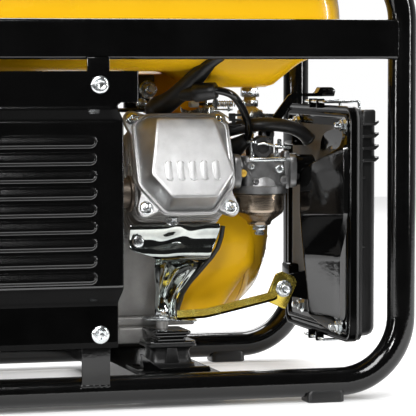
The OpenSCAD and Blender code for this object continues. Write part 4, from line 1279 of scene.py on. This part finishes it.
def starter():
    fan = Shape()
    at = plus_x((0, AXIS_Y, AXIS_Z))
    fan.lathe([(90, 112.3), (91.6, 112.3), (92, 113), (92, 120), (91.2, 121), (91.2, 150), (92, 156),
        (91, 159), (88, 160), (66, 160), (66, 158), (88, 158), (90, 156)], at, 96)
    for turn in (20, 100, 160, 250, 320):
        spot = spun(at, turn)
        fan.disc([(6, 113), (6, 122)], spot @ upright(86, 0), 24)
    skirt = []
    for k in range(31):
        z = 74 + 118 * k / 30
        slope = smoothstep((132 - z) / 12) * (132 - z) * 0.64
        x1 = 170 - max(slope, 0) - 3.0 * smoothstep((80 - z) / 6)
        x0 = 68 + 44 * smoothstep((z - 74) / 100)
        y = -52 - 15 * smoothstep((z - 74) / 84)
        quarter = [pi / 2 * i / 8 for i in range(9)]
        bend = [(x1 - 15 + 15 * sin(a), y + 15 - 15 * cos(a), z) for a in quarter]
        bend = [(x0, y, z), (x0 + 20, y - 1.5, z), (x1 - 26, y - 1.0, z)] + bend + [(x1, y + 34, z)]
        skirt.append(bend + [(x - 1.3 * (x > x1 - 10), q + 1.3, z) for x, q, _ in bend[::-1]])
    fan.loft(skirt)
    fan.piece("fan_housing_pressed", SATIN, ["fan_housing"], smooth=45)
    dome = Shape()
    dome.lathe([(88, 160.2), (90, 160.2), (90, 163), (88, 166.4), (83, 172), (78, 177.6), (73, 182),
        (66, 185.4), (60, 187.6), (58, 189.6), (40, 190), (26, 190), (24, 188.4), (22, 188.4),
        (20, 190), (0, 190)], at, 96)
    dome.box_ring(24, (33, -1.6, 189.0), (55, 1.6, 191.4), 0.8, 2, at)
    for turn in SCREW_TURNS:
        spot = spun(at, turn)
        dome.box((76, -9, 160.4), (90, 9, 166), 1.4, 2, spot)
    dome.box((164.2, 94, 178.4), (181.8, 121.8, 201.6), 2.2, 3)
    dome.piece("recoil_housing_pressed", YELLOW, ["recoil_housing"], smooth=45)
    screws = Shape()
    for turn in SCREW_TURNS:
        spot = spun(at, turn)
        screws.bolt(spot @ upright(84, 0, 166), 8.0)
    screws.piece("starter_screws", ZINC)
    eye = Shape()
    eye.lathe([(4.0, 0), (7.4, 0), (7.6, 0.6), (7.2, 2), (5, 2.8), (4.2, 2.4)],
        far((ROPE_X, 121.6, ROPE_Z)), 36)
    eye.piece("rope_eye", GLOSS_PLASTIC)
    rope = Shape()
    line = [(ROPE_X, 84.4 + 37.9 * k / 30, ROPE_Z) for k in range(31)]
    for strand in range(3):
        twist = strand * THIRD_TURN
        rope.tube([(x + 0.95 * cos(y * 0.55 + twist), y, z + 0.95 * sin(y * 0.55 + twist))
            for x, y, z in line], 1.5, 12)
    cord = rope.piece("starter_rope_laid", ROPE, ["starter_rope"], None)
    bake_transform(cord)
    handle = Shape()
    loops = []
    for t in range(13):
        turn = pi * t / 12
        x = ROPE_X - 20.8 * cos(turn)
        r = 3.6 + 4.6 * sin(turn) ** 0.6
        loops.append([(x, GRIP_Y + r * 0.82 * cos(a), ROPE_Z + r * 1.05 * sin(a))
            for a in [2 * pi * k / 28 for k in range(28)]])
    handle.loft(loops)
    handle.disc([(5.2, 0), (6.0, 1), (6.4, 8)], far((ROPE_X, 126.4, ROPE_Z)), 28)
    for x in (160, 166.5, 179.5, 186):
        handle.tube([(x, GRIP_Y + 6.6 * cos(a), ROPE_Z + 8.3 * sin(a))
            for a in [pi * k / 8 - pi / 2 for k in range(9)]], 1.0, 8)
    handle.piece("pull_handle_grip", GLOSS_PLASTIC, ["pull_handle"], "pull_handle")


# ------------------------------------------------------ panel side

PANEL_Y = 160
SOCKETS_X = (-205, -140)


def panel():
    board = Shape()
    outline = rectangle(-250, -10, 196, 336, 10, 6)
    loops = []
    for inset, y in ((3, 138.2), (0, 139), (0, 158.4), (0.8, 159.6), (3.5, 160), (5, 160), (5.6, 159.2),
            (7, 159.2), (7.8, 160.0), (40, 160)):
        loops.append([(x, y, z) for x, z in shrunk(outline, inset, (-130, 266), (120, 70))])
    board.loft(loops)
    board.piece("control_panel_moulded", PANEL, ["control_panel"])
    trims = Shape()
    for x in (-242, -18):
        for z in (204, 328):
            trims.bolt(far((x, PANEL_Y, z)), 6.0, dish=False)
    trims.bolt(far((-28, PANEL_Y, 216)), 8.0)
    trims.piece("panel_screws", ZINC)
    sockets = Shape()
    for x in SOCKETS_X:
        at = far((x, PANEL_Y, 240))
        sockets.prism(rectangle(-25, 25, -25, 25, 6), 0.05, 5.6, 1.2, 3, at)
        sockets.lathe([(16.6, 5), (21.6, 5), (22, 5.6), (22, 8.2), (21.2, 9.2), (17.4, 9.2),
            (16.6, 8.4)], at, 64)
        sockets.disc([(16.8, 5), (16.8, 5.9)], at, 48)
        for dx in (-6.4, 6.4):
            sockets.lathe([(2.4, 5.6), (3.6, 5.6), (3.6, 6.6), (2.4, 6.6)], at @ upright(dx, 0), 24)
        for side in (-1, 1):
            sockets.tube([(x + side * 21, 165, 266.5), (x + side * 14, 165, 266.5)], 3.0, 16)
            sockets.box((x + side * 17.5 - 3.5, 160, 262), (x + side * 17.5 + 3.5, 166, 266.5), 0.8, 2)
    for x in SOCKETS_X:
        sockets.disc([(2.6, 0), (2.6, 1)], far((x, PANEL_Y, 212)), 20)
    sockets.piece("outlet_fronts", PLASTIC, ["outlet_sockets"])
    for node in ("left_cover", "right_cover"):
        left, right = [corner.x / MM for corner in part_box(node)]
        mid = (left + right) / 2
        lid = Shape()
        lid.disc([(21.4, 170.6), (22, 171.2), (22, 173.2), (21, 174), (17, 174.2), (16, 173.6)],
            axis_frame((mid, 0, 242), 0, -90), 64)
        lid.tube([(left + 0.4, 172, 266.5), (right - 0.4, 172, 266.5)], 2.3, 18)
        lid.box((mid - 11, 170.8, 258), (mid + 11, 173.4, 266.5), 0.8, 2)
        lid.box((mid - 7, 172, 219.6), (mid + 7, 174.6, 224), 0.9, 2)
        lid.piece(node + "_moulded", BLUE, [node], node)


def meter_and_switches():
    at = far((-82, PANEL_Y, 304))
    meter = Shape()
    meter.prism(rectangle(-27.6, 27.6, -21.6, 21.6, 4), 0.05, 3.2, 0.8, 2, at)
    meter.prism(rectangle(-23, 23, -11, 17.5, 2), 3.0, 4.0, 0.4, 1, at)
    meter.piece("voltmeter_body", PLASTIC, ["voltmeter"], slot="meter_plastic")
    dial = Shape()
    dial.prism(rectangle(-21.5, 21.5, -9.5, 16, 1.5), 3.8, 4.5, 0.2, 1, at)
    dial.piece("voltmeter_dial", WHITE)
    marks = Shape()
    pivot = at @ upright(0, -8)
    for k in range(9):
        long = 4.2 if k % 2 == 0 else 2.6
        marks.box((-0.3, 20 - long, 4.4), (0.3, 20, 4.75), 0.08, 1, spun(pivot, 12 * k - 48))
    marks.box((-0.4, 0, 4.5), (0.4, 17, 4.9), 0.1, 1, spun(pivot, 18))
    marks.piece("voltmeter_marks", PLASTIC, slot="meter_plastic")
    frames = Shape()
    frames.prism(rectangle(-13, 13, -19, 19, 3), 0.05, 2.0, 0.6, 2, far((-84, PANEL_Y, 240)))
    frames.prism(rectangle(-14, 14, -17, 17, 3), 0.05, 1.4, 0.5, 2, far((-44, PANEL_Y, 240)))
    frames.piece("switch_frames", GLOSS_PLASTIC)


# ------------------------------------------------------ alternator, muffler

def alternator():
    case = Shape()
    at = plus_x((0, AXIS_Y, AXIS_Z))
    case.lathe([(60, -200), (86, -200), (88, -198), (88, -190), (86, -188), (84, -186), (84, -150),
        (82, -149), (82, -40), (84, -39), (84, -8), (88, -4), (88, 20), (86, 21.8), (60, 21.8)], at, 96)
    case.box_ring(48, (81, -1.5, -148), (85.6, 1.5, -41), 0.6, 1, at)
    case.box_ring(4, (78, -8, -200), (88.4, 8, 21.4), 2.2, 2, at, 45)
    case.piece("alternator_case", CASTING, ["alternator_housing"])
    cover = Shape()
    cover.lathe([(60, -200.3), (85, -200.3), (86, -201), (86, -206), (84, -210), (82, -226), (78, -234),
        (70, -238.6), (60, -240), (20, -240), (18, -238.6), (12.05, -238.6), (12.05, -234), (58, -234)],
        at, 72)
    cover.box_ring(16, (30, -3.4, -241.0), (60, 3.4, -238.4), 1.2, 2, at)
    cover.piece("end_cover_moulded", PLASTIC, ["end_cover"])
    rods = Shape()
    for k in range(4):
        spot = spun(at, 45 + 90 * k)
        rods.bolt(spot @ upright(79, 0, -204.5) @ Matrix.Rotation(pi, 4, "X"), 8.0)
    rods.piece("end_cover_screws", ZINC)


def muffler():
    shell = Shape()
    outline = rectangle(-166, -88, 112, 270, 24, 8)
    loops = []
    for inset, x in ((6, -248), (2, -247.4), (0, -245.5), (0, -141), (-2.2, -140.2), (-2.2, -137.8),
            (0, -137), (0, -27), (2, -24.8), (6, -24.2)):
        loops.append([(u, v, x) for u, v in shrunk(outline, inset, (-127, 191), (39, 79))])
    shell.loft(loops, plus_x())
    shell.piece("muffler_shell", EXHAUST, ["muffler"])
    pipe = Shape()
    pipe.lathe([(11, -24), (14, -24), (14, 26.5), (11, 26.5)], plus_x((0, -103, 205)), 40)
    pipe.lathe([(11, 22.2), (17, 22.2), (18, 22.8), (18, 25.2), (17, 25.8), (11, 25.8)],
        plus_x((0, -103, 205)), 40)
    pipe.lathe([(10, -272), (11.4, -272), (12, -271), (12, -248), (10, -248)], plus_x((0, -127, 170)),
        40)
    for k in range(3):
        pipe.lathe([(10, -262 + 4 * k), (12.6, -262 + 4 * k), (12.6, -260.6 + 4 * k),
            (10, -260.6 + 4 * k)], plus_x((0, -127, 170)), 40)
    pipe.piece("exhaust_pipes", EXHAUST, ["exhaust_pipe"])


def tank_screws():
    screws = Shape()
    for x in (-225, 225):
        for side in (-1, 1):
            screws.bolt(upright(x, side * 155.6, 358.4), 6.0)
    screws.piece("tank_screws", ZINC, ["tank_bolts"])


for build in (guard_panel, guard_tabs, guard_screws, rail_welds, valve_cover, head_and_barrel,
        plug_and_boot, head_cowl, hoses, carburettor, fuel_tank, fuel_tap, air_cleaner, cleaner_stay,
        choke_lever, governor, lower_shroud, crankcase, mounts, rubber_feet, starter, panel,
        meter_and_switches, alternator, muffler, tank_screws):
    build()

# ----------------------------------------------------------- floor, lights


def calculate(tree, operation, first, second):
    node = node_of(tree, "ShaderNodeMath")
    node.operation = operation
    tree.links.new(first, node.inputs[0])
    if isinstance(second, float):
        node.inputs[1].default_value = second
    else:
        tree.links.new(second, node.inputs[1])
    return node.outputs["Value"]


def paint_floor_shadow_and_glow():
    """Glow of the floor with painted light: a painted shadow dims it under the frame, and a painted
    brighter strip lies a little in front of it.
    """
    tree = FLOOR.node_tree
    place = tree.nodes.new("ShaderNodeTexCoord")
    split = tree.nodes.new("ShaderNodeSeparateXYZ")
    tree.links.new(place.outputs["Object"], split.inputs["Vector"])
    squares = []
    for axis, half in (("X", 0.30), ("Y", 0.185)):
        square = calculate(tree, "MULTIPLY", split.outputs[axis], split.outputs[axis])
        squares.append(calculate(tree, "MULTIPLY", square, 1 / half ** 2))
    reach = calculate(tree, "MAXIMUM", *squares)
    # painted shadow: the glow falls to a tenth under the frame
    under = map_range(tree, reach, 0.60, 1.10, 0.10, 1.0)
    # painted light: a brighter strip of floor in front of the frame, which the sheet reflects
    front = map_range(tree, split.outputs["Y"], -0.29, -0.25, 1.0, 0.62)
    glow_with_painted_shadow = calculate(tree, "MULTIPLY", under, front)
    tree.links.new(glow_with_painted_shadow, tree.nodes["Principled BSDF"].inputs["Emission Strength"])


def add_floor():
    """White floor that ends shortly in front of the object."""
    paint_floor_shadow_and_glow()
    part = bmesh.new()
    corners = ((-2.4, -0.6), (2.6, -0.6), (2.6, 3.2), (-2.4, 3.2))
    part.faces.new([part.verts.new((x, y, 0)) for x, y in corners])
    mesh = mesh_of("floor", part)
    mesh.materials.append(FLOOR)
    floor = bpy.data.objects.new("floor", mesh)
    scene.collection.objects.link(floor)


def add_light(name, at, look_at, size, power):
    data = bpy.data.lights.new(name, "AREA")
    data.energy = power
    data.shape = "RECTANGLE"
    data.size, data.size_y = size
    light = bpy.data.objects.new(name, data)
    light.location = at
    light.rotation_euler = (Vector(look_at) - Vector(at)).to_track_quat("-Z", "Y").to_euler()
    scene.collection.objects.link(light)


def add_world(seen, front, back):
    """White where it is seen; as a light, dark in front and bright behind."""
    world = bpy.data.worlds.new("studio")
    scene.world = world
    world.use_nodes = True
    tree = world.node_tree
    link = tree.links.new
    ground = tree.nodes["Background"]
    place = tree.nodes.new("ShaderNodeTexCoord")
    split = tree.nodes.new("ShaderNodeSeparateXYZ")
    link(place.outputs["Generated"], split.inputs["Vector"])
    side = node_of(tree, "ShaderNodeMath")
    side.operation = "MULTIPLY_ADD"
    side.inputs[1].default_value = 0.55
    link(split.outputs["X"], side.inputs[0])
    link(split.outputs["Y"], side.inputs[2])
    link(map_range(tree, side.outputs["Value"], -0.15, 0.75, front, back), ground.inputs["Strength"])
    ground.inputs["Color"].default_value = (1, 1, 1, 1)
    bright = node_of(tree, "ShaderNodeBackground", Strength=seen, Color=(1, 1, 1, 1))
    path = tree.nodes.new("ShaderNodeLightPath")
    mix = tree.nodes.new("ShaderNodeMixShader")
    link(path.outputs["Is Camera Ray"], mix.inputs["Fac"])
    link(ground.outputs["Background"], mix.inputs[1])
    link(bright.outputs["Background"], mix.inputs[2])
    link(mix.outputs["Shader"], tree.nodes["World Output"].inputs["Surface"])


add_floor()
add_world(1.0, 0.02, 0.42)
add_light("key_box", (-0.5, -1.75, 2.0), (0, 0, 0.25), (1.6, 0.9), 60)
add_light("top_box", (0.2, 0.9, 2.1), (0, 0, 0.2), (1.2, 0.6), 30)
add_light("left_strip", (-2.1, -1.0, 0.7), (0, 0, 0.25), (0.10, 1.3), 17)
add_light("right_strip", (1.7, -1.35, 0.75), (0.1, 0, 0.22), (0.10, 1.3), 15)
add_light("front_fill", (-1.0, -2.3, 0.95), (0, 0, 0.25), (0.4, 0.3), 15)
add_light("back_box", (0.4, 2.3, 1.5), (0, 0, 0.2), (1.8, 1.0), 34)
